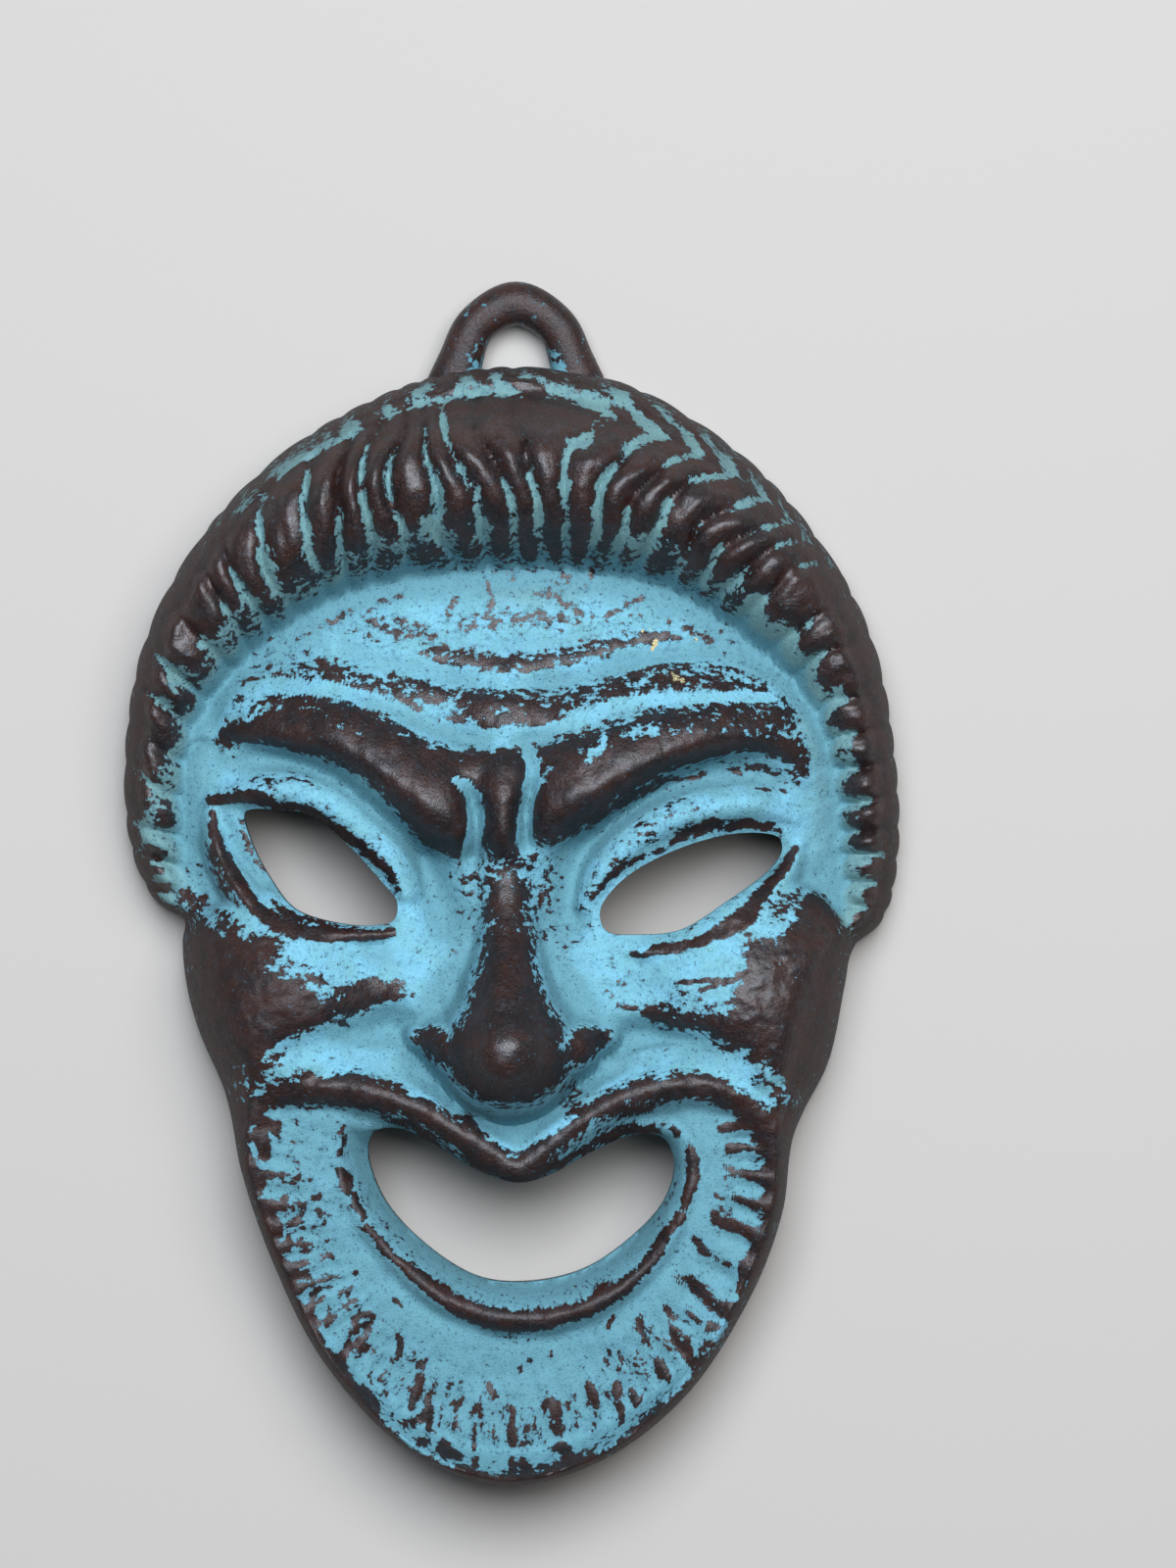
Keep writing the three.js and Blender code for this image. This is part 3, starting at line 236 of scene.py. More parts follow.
# Outlines of the larger places where the patina is rubbed through to brown metal: x, y.
BROWN_PATCHES = [
    [[-30, 14.8], [-28.6, 15.8], [-27.2, 16.3], [-26, 17.2], [-24.2, 18.2], [-22.2, 18.7], [-20.2, 18.8],
     [-18.6, 18.7], [-17.2, 18.3], [-15.8, 17.5], [-14, 17.1], [-12.2, 16.5], [-10.2, 15.6],
     [-8.6, 14.7], [-7.6, 14.1], [-6, 13.9], [-4.2, 14], [-2.2, 13.6], [0, 13.9], [1.6, 13.7], [3, 14.3],
     [5.3, 15], [7.8, 15.7], [9, 16.1], [10, 16.3], [11.8, 17.2], [13.8, 17.8], [17.8, 17.8],
     [19.8, 17.2], [21.8, 17.8], [23.8, 17.2], [25.8, 16.4], [27.6, 15], [29.3, 14], [30, 12.5],
     [30, 11], [29.2, 10.5], [28.3, 11.5], [26.8, 12.6], [24.8, 13.1], [23, 13.3], [21.3, 12.7],
     [19.3, 12.1], [16.8, 11.6], [14.8, 10.6], [12.8, 9.7], [10.8, 8.5], [9, 7.1], [7.8, 6.2], [6.3, 5],
     [4.3, 4.3], [2.9, 4.7], [2.1, 4], [0, 3.2], [-2.2, 3.4], [-3.4, 3.2], [-5.2, 2.5], [-7, 2.8],
     [-9, 4], [-10.6, 5.8], [-12, 7.9], [-13.6, 9.8], [-15.6, 11.2], [-18.2, 12.3], [-20.7, 13],
     [-23.2, 13.8], [-25.7, 14.2], [-28, 13.8], [-29.4, 13.6]],
    [[-1.6, -4.4], [-0.1, -4.3], [1.2, -5], [1.8, -6.6], [1.9, -8.5], [2.5, -10], [3.3, -12],
     [4.1, -13.4], [5, -14.5], [5.1, -15.5], [4.6, -16.3], [5.6, -16.4], [6.2, -15], [7, -14.4],
     [8, -14.7], [9.1, -14.2], [9.6, -15], [10, -15.8], [8.8, -16.8], [7.4, -17.7], [6, -18],
     [5.4, -19.2], [3.8, -20.3], [2.3, -21.2], [0.3, -21.7], [-1.7, -21.6], [-3.4, -20.8], [-4.7, -19.8],
     [-5.8, -18.6], [-7, -17.8], [-8.1, -17], [-9.1, -16.3], [-9.6, -15.6], [-9, -14.7], [-7.7, -14.4],
     [-6.6, -14.7], [-5.8, -15.4], [-5.4, -14.7], [-4.5, -14], [-4.3, -12.8], [-3.8, -11.7],
     [-3.4, -10.4], [-2.9, -9.2], [-2.4, -8.4], [-2.1, -7.2], [-2.1, -5.8]],
    [[-33.6, -0.5], [-32.6, -0.3], [-31.6, -0.6], [-30.2, -1.6], [-30.6, -2.8], [-30, -4], [-28.7, -3.8],
     [-27.8, -4.4], [-27.2, -5.3], [-26, -5.7], [-24.2, -5.5], [-23.4, -6.2], [-23.8, -7.6], [-24.8, -9],
     [-23, -9.3], [-21.4, -9.6], [-21, -10.3], [-20, -11], [-18.7, -11.9], [-17.6, -11.6],
     [-16.6, -10.4], [-15, -9.8], [-13.2, -9.9], [-11.6, -10.1], [-10.6, -10.4], [-10.7, -11.3],
     [-12, -12.1], [-13.7, -12.2], [-15.2, -13.1], [-16.6, -13.4], [-17.6, -13.1], [-18.4, -13.7],
     [-20, -14.2], [-21.2, -15], [-22.4, -15.6], [-23.8, -16.3], [-24.8, -17.2], [-26, -18],
     [-27.8, -18.1], [-28.2, -19.2], [-28.4, -20.6], [-29.2, -22.2], [-31.6, -24], [-35.2, -21],
     [-36.2, -13], [-35.8, -8.5], [-33.8, -5.5], [-33.4, -2.5]],
    [[30.2, -1.2], [29.2, -3], [28, -4.4], [26.8, -5.3], [25.3, -5.8], [24.1, -5.8], [23.8, -7.2],
     [24, -8.6], [22.8, -9.1], [23.6, -10.2], [22.4, -11.6], [22.8, -12.8], [21.3, -13.3], [19.3, -13.4],
     [17.6, -13.2], [16, -12.6], [14, -12.3], [13, -13.2], [14.6, -14.3], [16.8, -14.9], [19, -15],
     [20.6, -15.7], [22.6, -16.6], [24.8, -17.1], [26.8, -18.8], [28.1, -19.7], [28.8, -21], [30, -22],
     [32.3, -23.5], [35.8, -20], [37.3, -12], [36.3, -6], [34.6, -6.5], [33.4, -4], [32.4, -1.8],
     [31.4, -0.8]],
    [[-30.8, -22], [-28.2, -21.4], [-27, -21.9], [-25.6, -21.2], [-24, -20.3], [-22.2, -19.8],
     [-20.2, -19.4], [-18.4, -19.7], [-17.2, -19], [-15.8, -19], [-14.4, -19.8], [-12.6, -20.2],
     [-11, -21], [-9.8, -22], [-8.4, -22], [-7.4, -22.8], [-6.8, -23.9], [-5.8, -24.9], [-4.8, -25.7],
     [-5.4, -26.2], [-6.8, -25.3], [-8.2, -24.7], [-9.4, -23.9], [-11, -23.1], [-12.8, -22.9],
     [-14.8, -22.7], [-17, -22.8], [-18.8, -22.9], [-20.6, -22.8], [-22.4, -22.6], [-23.7, -22.2],
     [-24.8, -22.8], [-26, -23.8], [-26.6, -25.2], [-27, -27.2], [-27.6, -29.2], [-30, -28], [-31.6, -24]],
    [[7.4, -22.8], [9.3, -21.6], [11.4, -20.7], [12.8, -19.9], [14.3, -19.5], [15.6, -19.9],
     [16.8, -19.3], [18.8, -19.3], [20.8, -19.8], [22.8, -20.8], [24.4, -21.8], [26, -23.1],
     [27.4, -24.5], [28.6, -26], [30.8, -28], [30.8, -34], [27.8, -37], [26.4, -36.8], [25.2, -36.2],
     [25.6, -34], [25.6, -31.5], [25.4, -29], [25, -27], [24.4, -25.4], [23.2, -24], [22, -23.1],
     [20.8, -22.4], [19.4, -21.4], [17.8, -21.2], [16.8, -21.7], [15.4, -21.7], [14.2, -21.3],
     [12.8, -21.6], [11.4, -22.1], [10, -22.7], [8.4, -23.4]],
    [[6.1, -19.8], [6.9, -20], [7.5, -21], [6.8, -22], [7.2, -22.8], [5.9, -23.1], [5.1, -22.4],
     [5.4, -21.2]],
    [[-19.6, 22.4], [-18.8, 22.8], [-17.8, 22], [-17.2, 21], [-16.8, 20.2], [-18.2, 20.2], [-19.2, 21],
     [-19.8, 21.8]],
    [[-21.4, 18.9], [-20.2, 19.4], [-18.6, 19.2], [-17.6, 18.4], [-19.2, 17.8], [-20.8, 18]],
]
# Lines that are rubbed through to brown metal: x, y, how much, half width.
RUBBED = [
    [[-15.2, 26.8, 0.2, 0.4], [-13.8, 26.6, 0.3, 0.5], [-12.6, 26, 0.2, 0.4]],
    [[-11.8, 26, 0.3, 0.4], [-10.2, 25.6, 0.3, 0.6], [-8.2, 25.2, 0.3, 0.5], [-7, 24.6, 0.2, 0.4]],
    [[-8.2, 23.3, 0.3, 0.6], [-6.4, 23.2, 0.3, 0.7], [-4.6, 23, 0.3, 0.8], [-2.7, 22.8, 0.3, 1],
     [-1, 22.4, 0.3, 0.8], [0.6, 22.4, 0.2, 0.5], [1.8, 22.6, 0.3, 0.9], [3.4, 22.6, 0.3, 0.8],
     [5, 22.8, 0.3, 0.8], [6.4, 23.4, 0.3, 0.8], [7.8, 24.2, 0.3, 0.8], [10, 24.6, 0.3, 0.8],
     [12.4, 24.8, 0.3, 0.7], [13.8, 25, 0.1, 0.5]],
    [[-22.2, 23, 0.3, 0.5], [-20.7, 23.2, 0.3, 0.6], [-19.2, 22.8, 0.3, 0.6], [-18, 21.8, 0.3, 0.9],
     [-17, 20.8, 0.3, 0.7]],
    [[-15.9, 20.6, 0.3, 0.6], [-14, 20.6, 0.3, 0.7], [-12.4, 20, 0.3, 0.6], [-11.2, 21, 0.3, 0.5],
     [-10.2, 20.6, 0.3, 0.6]],
    [[-10.2, 20.2, 0.3, 0.6], [-8.2, 19.7, 0.3, 0.7], [-6.4, 19.4, 0.3, 0.8], [-4.6, 19.2, 0.3, 0.8],
     [-2.2, 19.2, 0.3, 0.8], [0.2, 19, 0.3, 0.8], [2.3, 18.8, 0.3, 0.8], [4.4, 19.2, 0.3, 0.8],
     [6.8, 19.8, 0.3, 0.9], [9, 20.2, 0.3, 0.9], [11.4, 20.6, 0.3, 0.8], [13.8, 21.2, 0.3, 0.8],
     [16.2, 21.8, 0.3, 0.8], [17.8, 21.8, 0.3, 0.7]],
    [[-13.4, 19, 0.3, 0.5], [-11.7, 18.8, 0.3, 0.6], [-9.7, 17.8, 0.3, 0.6], [-8.2, 17.8, 0.2, 0.5]],
    [[-5.2, 16.5, 0.5, 0.8], [-3.6, 17.8, 0.3, 0.7], [-2.2, 16.4, 0.6, 0.8], [-0.4, 16.6, 0.4, 0.6],
     [1.3, 16.8, 0.5, 0.8], [3, 16.6, 1, 0.9], [4.6, 17.8, 0.3, 0.9], [6, 18, 0.3, 0.8]],
    [[16.2, 20.4, 0.3, 0.6], [17.8, 21, 0.3, 0.5], [20.8, 20, 0.3, 0.5], [22.3, 20, 0.3, 0.5],
     [23.8, 19.6, 0.3, 0.5], [25.8, 19, 0.3, 0.5]],
    [[-2.2, 27.5, 0.3, 0.3], [-1.9, 26, 0.3, 0.4]],
    [[5.6, 27.8, 0.2, 0.3], [6.8, 27.6, 0.3, 0.4]],
    [[19.8, 25, 0.2, 0.4], [20.6, 24.6, 0.3, 0.4]],
    [[22, 21.6, 0.2, 0.4], [23.4, 20.8, 0.2, 0.4]],
    [[21.8, 18.8, 0.1, 0.8], [24.8, 18.4, 0.2, 0.8], [26.8, 17.8, 0.2, 0.7]],
    [[7.8, 5.8, 0.5, 0.5], [9.8, 7.2, 0.5, 0.5], [11.8, 8.4, 0.8, 0.6], [13.8, 9.4, 0.9, 0.6],
     [15.8, 10.4, 0.9, 0.5], [17.8, 10.6, 0.6, 0.5], [19.4, 11.2, 0.5, 0.6]],
    [[22.3, 12.4, 0.6, 0.6], [22.8, 11.4, 0.7, 0.7], [25.3, 11.8, 0.5, 0.6], [27, 11.2, 0.6, 0.6]],
    [[24.8, 9.6, 0.2, 0.3], [27.8, 9.4, 0.2, 0.4]],
    [[-3.4, -0.5, 0.1, 0.4], [-2.2, -1, 0.1, 0.8], [-1, 0.2, 0.1, 0.8], [0.4, 0, 0.1, 0.9],
     [1.8, -0.6, 0.1, 0.9], [2.3, -1.4, 0.1, 0.8], [0.8, -1.5, 0.1, 0.9]],
    [[-1.7, 1, 0.1, 0.6], [-0.2, 1.5, 0.1, 0.6], [1.3, 1, 0.1, 0.6], [2.8, 0.8, 0.1, 0.7],
     [4, 0, 0.1, 0.6]],
    [[-1.7, 3, 0.1, 0.6], [-0.2, 2.2, 0.1, 0.6], [1.3, 1.6, 0.1, 0.6]],
    [[2.3, 1.6, 0.1, 0.5], [3.3, 1.4, 0.1, 0.5]],
    [[0, -3.5, 0.1, 0.9], [1.3, -3.5, 0.1, 0.9], [1.8, -4, 0.1, 0.8]],
    [[-2.5, -3.8, 0.1, 0.5], [-1.7, -3, 0.1, 0.5]],
    [[3.8, -3.8, 0.1, 0.6], [4.6, -4.4, 0.5, 0.6]],
    [[3, -4.8, 0.6, 0.4], [3.6, -5.6, 0.6, 0.4]],
    [[-3.2, -5.7, 0.5, 0.4], [-2.2, -5.5, 0.6, 0.5]],
    [[-30.7, 8.5, 0.9, 0.5], [-29.7, 8.4, 1, 0.6], [-28.6, 8.6, 0.9, 0.6], [-27.2, 8.7, 1, 0.7],
     [-26, 8.7, 1, 0.8], [-25, 8.4, 0.9, 0.8], [-23.8, 7.8, 0.8, 0.7]],
    [[-23.8, 7.8, 0.9, 0.6], [-22.2, 7.6, 0.9, 0.6], [-21, 7.2, 1, 0.7], [-19.6, 6.7, 1, 0.7],
     [-18.4, 5.9, 1, 0.7], [-17.2, 5, 0.9, 0.7], [-15.8, 4.2, 0.8, 0.6], [-14.6, 3.2, 0.8, 0.6],
     [-13.4, 2, 0.8, 0.5], [-12.2, 1, 0.5, 0.5], [-11.6, -0.5, 0.3, 0.4]],
    [[-27.3, 6.4, 0.4, 0.3], [-27.2, 5, 0.5, 0.4], [-26.4, 3.4, 0.5, 0.5], [-26, 2.4, 0.4, 0.4],
     [-25, 1.2, 0.3, 0.3]],
    [[-30.3, 7.2, 0.8, 0.4], [-30.2, 5.5, 0.9, 0.5], [-29.6, 3.8, 1, 0.6], [-28.6, 1.8, 1.1, 0.7],
     [-27.4, -0.2, 1.1, 0.75], [-26, -2.2, 1.1, 0.8], [-24.4, -3.5, 1.1, 0.8], [-22.6, -4.4, 1.1, 0.9],
     [-20.4, -4.9, 1.1, 0.9], [-18.2, -5.1, 1.1, 0.85], [-16, -5.3, 1, 0.7], [-14, -5.3, 0.8, 0.6],
     [-12, -4.9, 0.7, 0.5]],
    [[-24.2, -1.8, 0.3, 0.3], [-22.2, -3.2, 0.5, 0.4], [-20.2, -3.5, 0.5, 0.4], [-17.7, -4.2, 0.4, 0.4]],
    [[8.1, -1.6, 0.2, 0.3], [9, -0.5, 0.3, 0.3], [9.8, 0.5, 0.4, 0.4], [11, 1.4, 0.5, 0.4],
     [12.6, 2.4, 0.5, 0.4], [14, 2.8, 0.5, 0.4], [15.4, 3.4, 0.6, 0.4]],
    [[16.2, 4, 0.6, 0.4], [17.2, 4.8, 1, 0.7], [18.6, 5.2, 1, 0.8], [20.2, 5.8, 1, 0.75],
     [21.8, 5.7, 0.8, 0.7], [23.4, 6, 0.9, 0.7], [25, 5.7, 0.8, 0.7], [26.4, 5.7, 0.7, 0.6],
     [27.5, 5, 0.5, 0.5]],
    [[12.3, -7.1, 0.5, 0.3], [13.8, -7.2, 0.5, 0.4], [14.6, -6.6, 0.8, 0.6], [16, -6.6, 0.8, 0.6],
     [17.2, -6.5, 0.7, 0.6], [18.4, -6, 0.5, 0.5], [19.6, -5.6, 0.9, 0.6], [21, -4.9, 0.8, 0.8],
     [22.4, -4.2, 0.8, 1], [23.8, -3.2, 0.9, 1], [24.6, -2, 0.8, 0.8], [25.6, -0.8, 0.9, 0.7],
     [26.6, 0.4, 0.9, 0.65], [27.6, 1.6, 0.9, 0.6], [28.4, 2.8, 0.9, 0.5], [28.9, 3.6, 0.6, 0.4]],
    [[-19.8, -9.5, 0.3, 0.4], [-18.8, -9.8, 0.3, 0.3]],
    [[-31.6, 2, 0.1, 0.4], [-31.8, 0.8, 0.3, 0.4]],
    [[-28.6, -1.4, 0.3, 0.2], [-27.6, -2.4, 0.2, 0.2]],
    [[-17.2, -14, 0.3, 0.3], [-16.2, -14.6, 0.3, 0.3]],
    [[21.3, -9.9, 0.5, 0.4], [23.3, -9.3, 0.5, 0.4]],
    [[16.6, -10, 0.2, 0.15], [20.8, -9.6, 0.4, 0.3]],
    [[19, -10.8, 0.2, 0.2], [20.8, -10, 0.4, 0.3]],
    [[9.8, -11, 0.3, 0.4], [10.4, -11.3, 0.3, 0.4]],
    [[11, -12.2, 0.2, 0.3], [12.6, -12.6, 0.4, 0.3]],
    [[20.6, -16.3, 0.6, 0.5], [22.3, -16.6, 0.6, 0.5]],
    [[23.8, -17.5, 0.7, 0.6], [24.8, -17.6, 0.6, 0.5]],
    [[18.6, -15.6, 0.4, 0.3], [19.2, -15.7, 0.4, 0.3]],
    [[-28.2, -19, 0.4, 0.6], [-26.6, -19.2, 0.3, 0.6], [-25.2, -18.2, 0.2, 0.5]],
    [[-27.8, -20.8, 0.2, 0.5], [-26, -20.6, 0.1, 0.5]],
    [[28.2, -20.4, 0.4, 0.7], [29, -21.6, 0.2, 0.7]],
    [[30.3, -20.5, 0.5, 0.6], [31.4, -21.2, 0.4, 0.7]],
    [[-5.2, -23.2, 0.8, 0.5], [-4.2, -23.6, 0.8, 0.6], [-3.6, -24.6, 0.8, 0.6], [-3, -25.6, 0.9, 0.6],
     [-2.5, -26.4, 0.9, 0.5], [-1.6, -27.2, 0.4, 0.4]],
    [[-6, -25.2, 0.9, 0.7], [-4.6, -26.3, 0.9, 0.8], [-3.2, -27.6, 1, 0.9], [-1.6, -28.6, 1, 0.9],
     [0.2, -29.3, 1, 1], [1.8, -29.4, 1, 0.9], [3.4, -28.6, 0.7, 0.6], [4.4, -28, 0.6, 0.5]],
    [[2.4, -27.4, 0.6, 0.5], [3.6, -26.6, 1, 0.6], [4.8, -25.8, 1, 0.7], [6, -24.9, 0.9, 0.6],
     [7, -24, 0.8, 0.6], [7.8, -23.2, 0.9, 0.6]],
    [[7.4, -22.8, 0.8, 0.5], [9.2, -22.7, 0.8, 0.5], [11.2, -22.7, 0.8, 0.5], [13, -22.7, 0.8, 0.5],
     [14.2, -22.4, 0.6, 0.4]],
    [[4, -28.6, 0.4, 0.4], [5.8, -27.8, 0.7, 0.4], [7.8, -26.6, 0.7, 0.4], [9.6, -25.6, 0.8, 0.5],
     [11.4, -24.9, 0.9, 0.6], [13.2, -24.8, 0.8, 0.5], [14.8, -25.1, 0.7, 0.5]],
    [[16.5, -24.8, 0.8, 0.4], [16.9, -25.3, 0.7, 0.4]],
    [[-8.2, -22.8, 0.4, 0.4], [-7, -24.2, 0.4, 0.4]],
    [[-14.2, -23.7, 0.1, 0.2], [-11.2, -24.1, 0.2, 0.3], [-8.2, -25.2, 0.3, 0.4]],
    [[-17.2, -25.2, 0.3, 0.4], [-16.8, -26, 0.3, 0.3], [-17.4, -27.4, 0.4, 0.3]],
    [[-17.2, -29, 0.6, 0.5], [-16.6, -30.2, 0.9, 0.7], [-16.4, -31.2, 0.6, 0.5]],
    [[-16, -31.6, 0.5, 0.35], [-15.4, -32.8, 0.6, 0.35], [-14.8, -34, 0.2, 0.3]],
    [[-14.7, -34.8, 0.6, 0.35], [-13.8, -35.5, 0.6, 0.35]],
    [[-13.2, -36.2, 0.7, 0.5], [-12.8, -37, 0.8, 0.7], [-12.2, -37.6, 0.5, 0.4],
     [-11.2, -38.3, 0.9, 0.5], [-10.2, -39.2, 1, 0.6], [-9.2, -40, 1, 0.75], [-7.8, -41, 1.1, 0.85],
     [-6.2, -42.2, 1.1, 1], [-4.4, -43.2, 1.2, 1.1], [-2.4, -44, 1.2, 1.2], [-0.2, -44.4, 1.2, 1.25],
     [2, -44.3, 1.2, 1.2], [4, -44, 1.2, 1.05], [6, -43.5, 1.1, 0.95], [8, -42.9, 1.1, 0.9],
     [9.8, -41.9, 1, 0.85], [11.4, -40.9, 1, 0.8], [12.6, -39.7, 0.9, 0.7]],
    [[13.4, -39, 0.9, 0.65], [14.2, -38.1, 0.9, 0.65], [15, -36.8, 0.9, 0.7], [15.6, -35.6, 0.8, 0.6],
     [16.4, -34.6, 0.7, 0.5], [17.2, -33.8, 0.8, 0.65]],
    [[17.6, -32.4, 0.5, 0.4], [18, -31, 0.9, 0.6], [18.4, -29.6, 1, 0.7], [18.4, -28.2, 1, 0.7],
     [18.2, -27, 0.8, 0.55]],
    [[-1.7, -46.1, 0.3, 0.25], [0.3, -46.3, 0.4, 0.3], [2.6, -46.3, 0.4, 0.3]],
    [[8.8, -41.1, 0.3, 0.4], [10, -40.6, 0.2, 0.4]],
    [[21.3, -22, 0.8, 0.6], [23, -22.7, 1, 0.8], [25.3, -23.3, 1, 0.8]],
    [[21.2, -24.7, 0.9, 0.5], [22.4, -24.5, 1, 0.7], [24.4, -24.3, 1, 0.8]],
    [[22.1, -26.8, 0.8, 0.6], [23.2, -26.6, 0.8, 0.6], [24.1, -26.8, 0.7, 0.5]],
    [[21.9, -29, 0.7, 0.4], [23.2, -29.3, 0.6, 0.35], [24.4, -29.7, 0.9, 0.6], [25.8, -30, 1, 0.9]],
    [[22.6, -31.8, 0.5, 0.4], [23.8, -32.3, 0.7, 0.4], [25.6, -32.6, 0.9, 0.5]],
    [[20.6, -33.2, 0.6, 0.4], [20.8, -34, 0.9, 0.55], [22, -34.6, 1, 0.65], [23.3, -35, 1, 0.7],
     [24.6, -35.7, 1, 0.75], [26, -36.2, 1, 0.8]],
    [[18.5, -36, 0.7, 0.4], [19.2, -36.7, 0.9, 0.5], [19.8, -37.4, 0.7, 0.45], [21, -38.1, 0.2, 0.2]],
    [[21.6, -38.4, 0.3, 0.3], [22, -38.6, 0.3, 0.3]],
    [[17, -40, 0.5, 0.4], [18.2, -40.2, 0.8, 0.5], [18.8, -41.2, 1, 0.8], [19.8, -42.2, 1, 0.7],
     [20.6, -43, 1, 0.8], [22, -43.4, 1, 0.9], [23.2, -43.4, 1, 0.9]],
    [[16.4, -39.8, 0.2, 0.25], [17.4, -40.3, 0.6, 0.4]],
    [[23.6, -38.8, 0.8, 0.6], [23.5, -40, 0.8, 0.5], [23.2, -41.2, 0.7, 0.4]],
    [[20, -45, 0.7, 0.5], [20.8, -44.8, 0.6, 0.4]],
    [[13, -44.2, 0.7, 0.5], [13, -45, 0.8, 0.4], [13.8, -46.2, 0.6, 0.3], [14.2, -47.2, 0.3, 0.25]],
    [[15, -48.4, 1, 0.7], [15.2, -49.4, 1.1, 0.9], [15.8, -50.2, 0.8, 0.6]],
    [[15.8, -43, 0.8, 0.5], [16.3, -43.9, 0.8, 0.5]],
    [[16.2, -45.2, 0.5, 0.35], [16.8, -46.6, 0.7, 0.4], [17.4, -47.6, 0.7, 0.4], [18.2, -48.5, 0.8, 0.4],
     [19.4, -48.6, 0.7, 0.5]],
    [[17.8, -46.6, 0.8, 0.5], [18, -47.6, 0.7, 0.5]],
    [[17.8, -43, 0.2, 0.3], [19, -44.6, 0.4, 0.3]],
    [[10.4, -43.8, 0.6, 0.3], [9.8, -45.2, 0.8, 0.4]],
    [[11, -47.8, 0.6, 0.4], [11.3, -48.7, 0.6, 0.4]],
    [[9.7, -48.2, 0.6, 0.4], [9.8, -48.7, 0.6, 0.4]],
    [[4.1, -47.5, 0.5, 0.3], [4, -48.2, 0.5, 0.3]],
    [[1.9, -48.3, 0.6, 0.25], [1.9, -48.5, 0.6, 0.25]],
    [[0.8, -49.2, 0.5, 0.3], [1.4, -49.7, 0.5, 0.3]],
    [[7.8, -50.8, 0.6, 0.4], [8.2, -51.6, 1, 0.6], [8.6, -52.6, 0.8, 0.4]],
    [[10.8, -50.8, 0.9, 0.5], [10.8, -51.8, 0.9, 0.6]],
    [[11.1, -53, 0.6, 0.4], [11.2, -54.5, 0.8, 0.4]],
    [[12.2, -51.6, 0.6, 0.4], [12.7, -52.8, 0.9, 0.5], [13.3, -52, 0.5, 0.3]],
    [[13.3, -54.6, 0.9, 0.5], [14.6, -54.3, 0.8, 0.5]],
    [[15.6, -53.4, 1, 0.7], [16.8, -52.4, 1, 0.7]],
    [[3, -53.1, 0.5, 0.35], [4.4, -52.8, 0.9, 0.6], [4.6, -53.8, 1, 0.7]],
    [[4.4, -55.2, 1, 0.7], [5, -55.8, 0.9, 0.6]],
    [[4, -57.6, 0.4, 0.4], [5.4, -57.4, 1, 0.7], [5.8, -58.2, 0.9, 0.6]],
    [[6.8, -58.4, 0.9, 0.6], [7.8, -58.6, 0.8, 0.5]],
    [[6.6, -52.2, 0.2, 0.4], [5.8, -53, 0.2, 0.3]],
    [[0, -54.6, 0.7, 0.5], [-0.1, -55.8, 1, 0.6], [0, -57, 0.9, 0.6], [0.2, -53.2, 0.4, 0.4]],
    [[0, -58.4, 0.7, 0.4], [0.2, -59.6, 0.5, 0.3]],
    [[1.2, -58.8, 0.9, 0.6], [1.8, -59.6, 0.8, 0.5]],
    [[3, -59.1, 0.4, 0.3], [3.8, -59, 0.4, 0.3]],
    [[-2.5, -50.6, 0.5, 0.3], [-2, -51.6, 0.8, 0.4], [-1.2, -52.5, 0.4, 0.3]],
    [[-3.6, -53, 0.3, 0.3], [-3.2, -54, 0.4, 0.3]],
    [[-3.8, -56.5, 0.6, 0.35], [-3.7, -57.4, 0.4, 0.3]],
    [[-3.5, -58.4, 0.8, 0.35], [-3.6, -58.9, 0.6, 0.3]],
    [[-4.6, -59.2, 0.6, 0.4], [-4, -59.4, 0.4, 0.3]],
    [[-5.9, -53, 0.7, 0.5], [-5.2, -52.6, 0.5, 0.4], [-5.8, -53.6, 0.5, 0.4]],
    [[-5.6, -54.5, 0.4, 0.3], [-5.9, -55.8, 0.5, 0.4]],
    [[-7, -57, 0.9, 0.7], [-6.4, -57.7, 1, 0.7], [-5.4, -58, 0.6, 0.5]],
    [[-9.2, -48.8, 0.9, 0.6], [-8.6, -48.4, 0.5, 0.3]],
    [[-9.2, -50.4, 0.9, 0.6], [-9.5, -51.4, 1.1, 0.7], [-9.9, -52.4, 0.9, 0.6], [-10.2, -53.6, 0.8, 0.4]],
    [[-8.4, -52, 0.5, 0.3], [-8.4, -53, 0.7, 0.4]],
    [[-10.6, -54.6, 0.8, 0.5], [-9.6, -54.6, 0.8, 0.5], [-8.2, -54.6, 0.6, 0.4], [-8.4, -55.4, 0.7, 0.5]],
    [[-9.2, -56.5, 0.6, 0.4], [-8.5, -56.5, 0.6, 0.4]],
    [[-8.7, -47.2, 0.4, 0.25], [-8.8, -47.5, 0.4, 0.25]],
    [[-11.4, -46.2, 0.8, 0.45], [-11.3, -47, 0.9, 0.55], [-11.3, -47.6, 0.8, 0.4]],
    [[-16, -44.2, 0.6, 0.4], [-15.4, -43.6, 0.7, 0.45], [-14.4, -43.7, 0.7, 0.4], [-13.8, -44, 0.5, 0.3]],
    [[-14.6, -45, 0.7, 0.5], [-13.6, -44.4, 0.5, 0.4]],
    [[-15.6, -44.8, 0.6, 0.4], [-15.8, -45.6, 0.5, 0.3]],
    [[-15.4, -46.6, 1, 0.7], [-14.8, -47.2, 0.9, 0.6]],
    [[-16.2, -46.6, 0.5, 0.4], [-17, -47.7, 0.9, 0.6], [-17.6, -48.6, 1, 0.8]],
    [[-12.8, -48, 0.4, 0.3], [-12, -48.4, 0.3, 0.3]],
    [[-14.2, -50, 0.3, 0.3], [-13.8, -51.4, 0.4, 0.3], [-12.6, -51.8, 0.3, 0.3]],
    [[-24.9, -24.2, 0.9, 0.8], [-23.8, -24.6, 0.9, 0.8]],
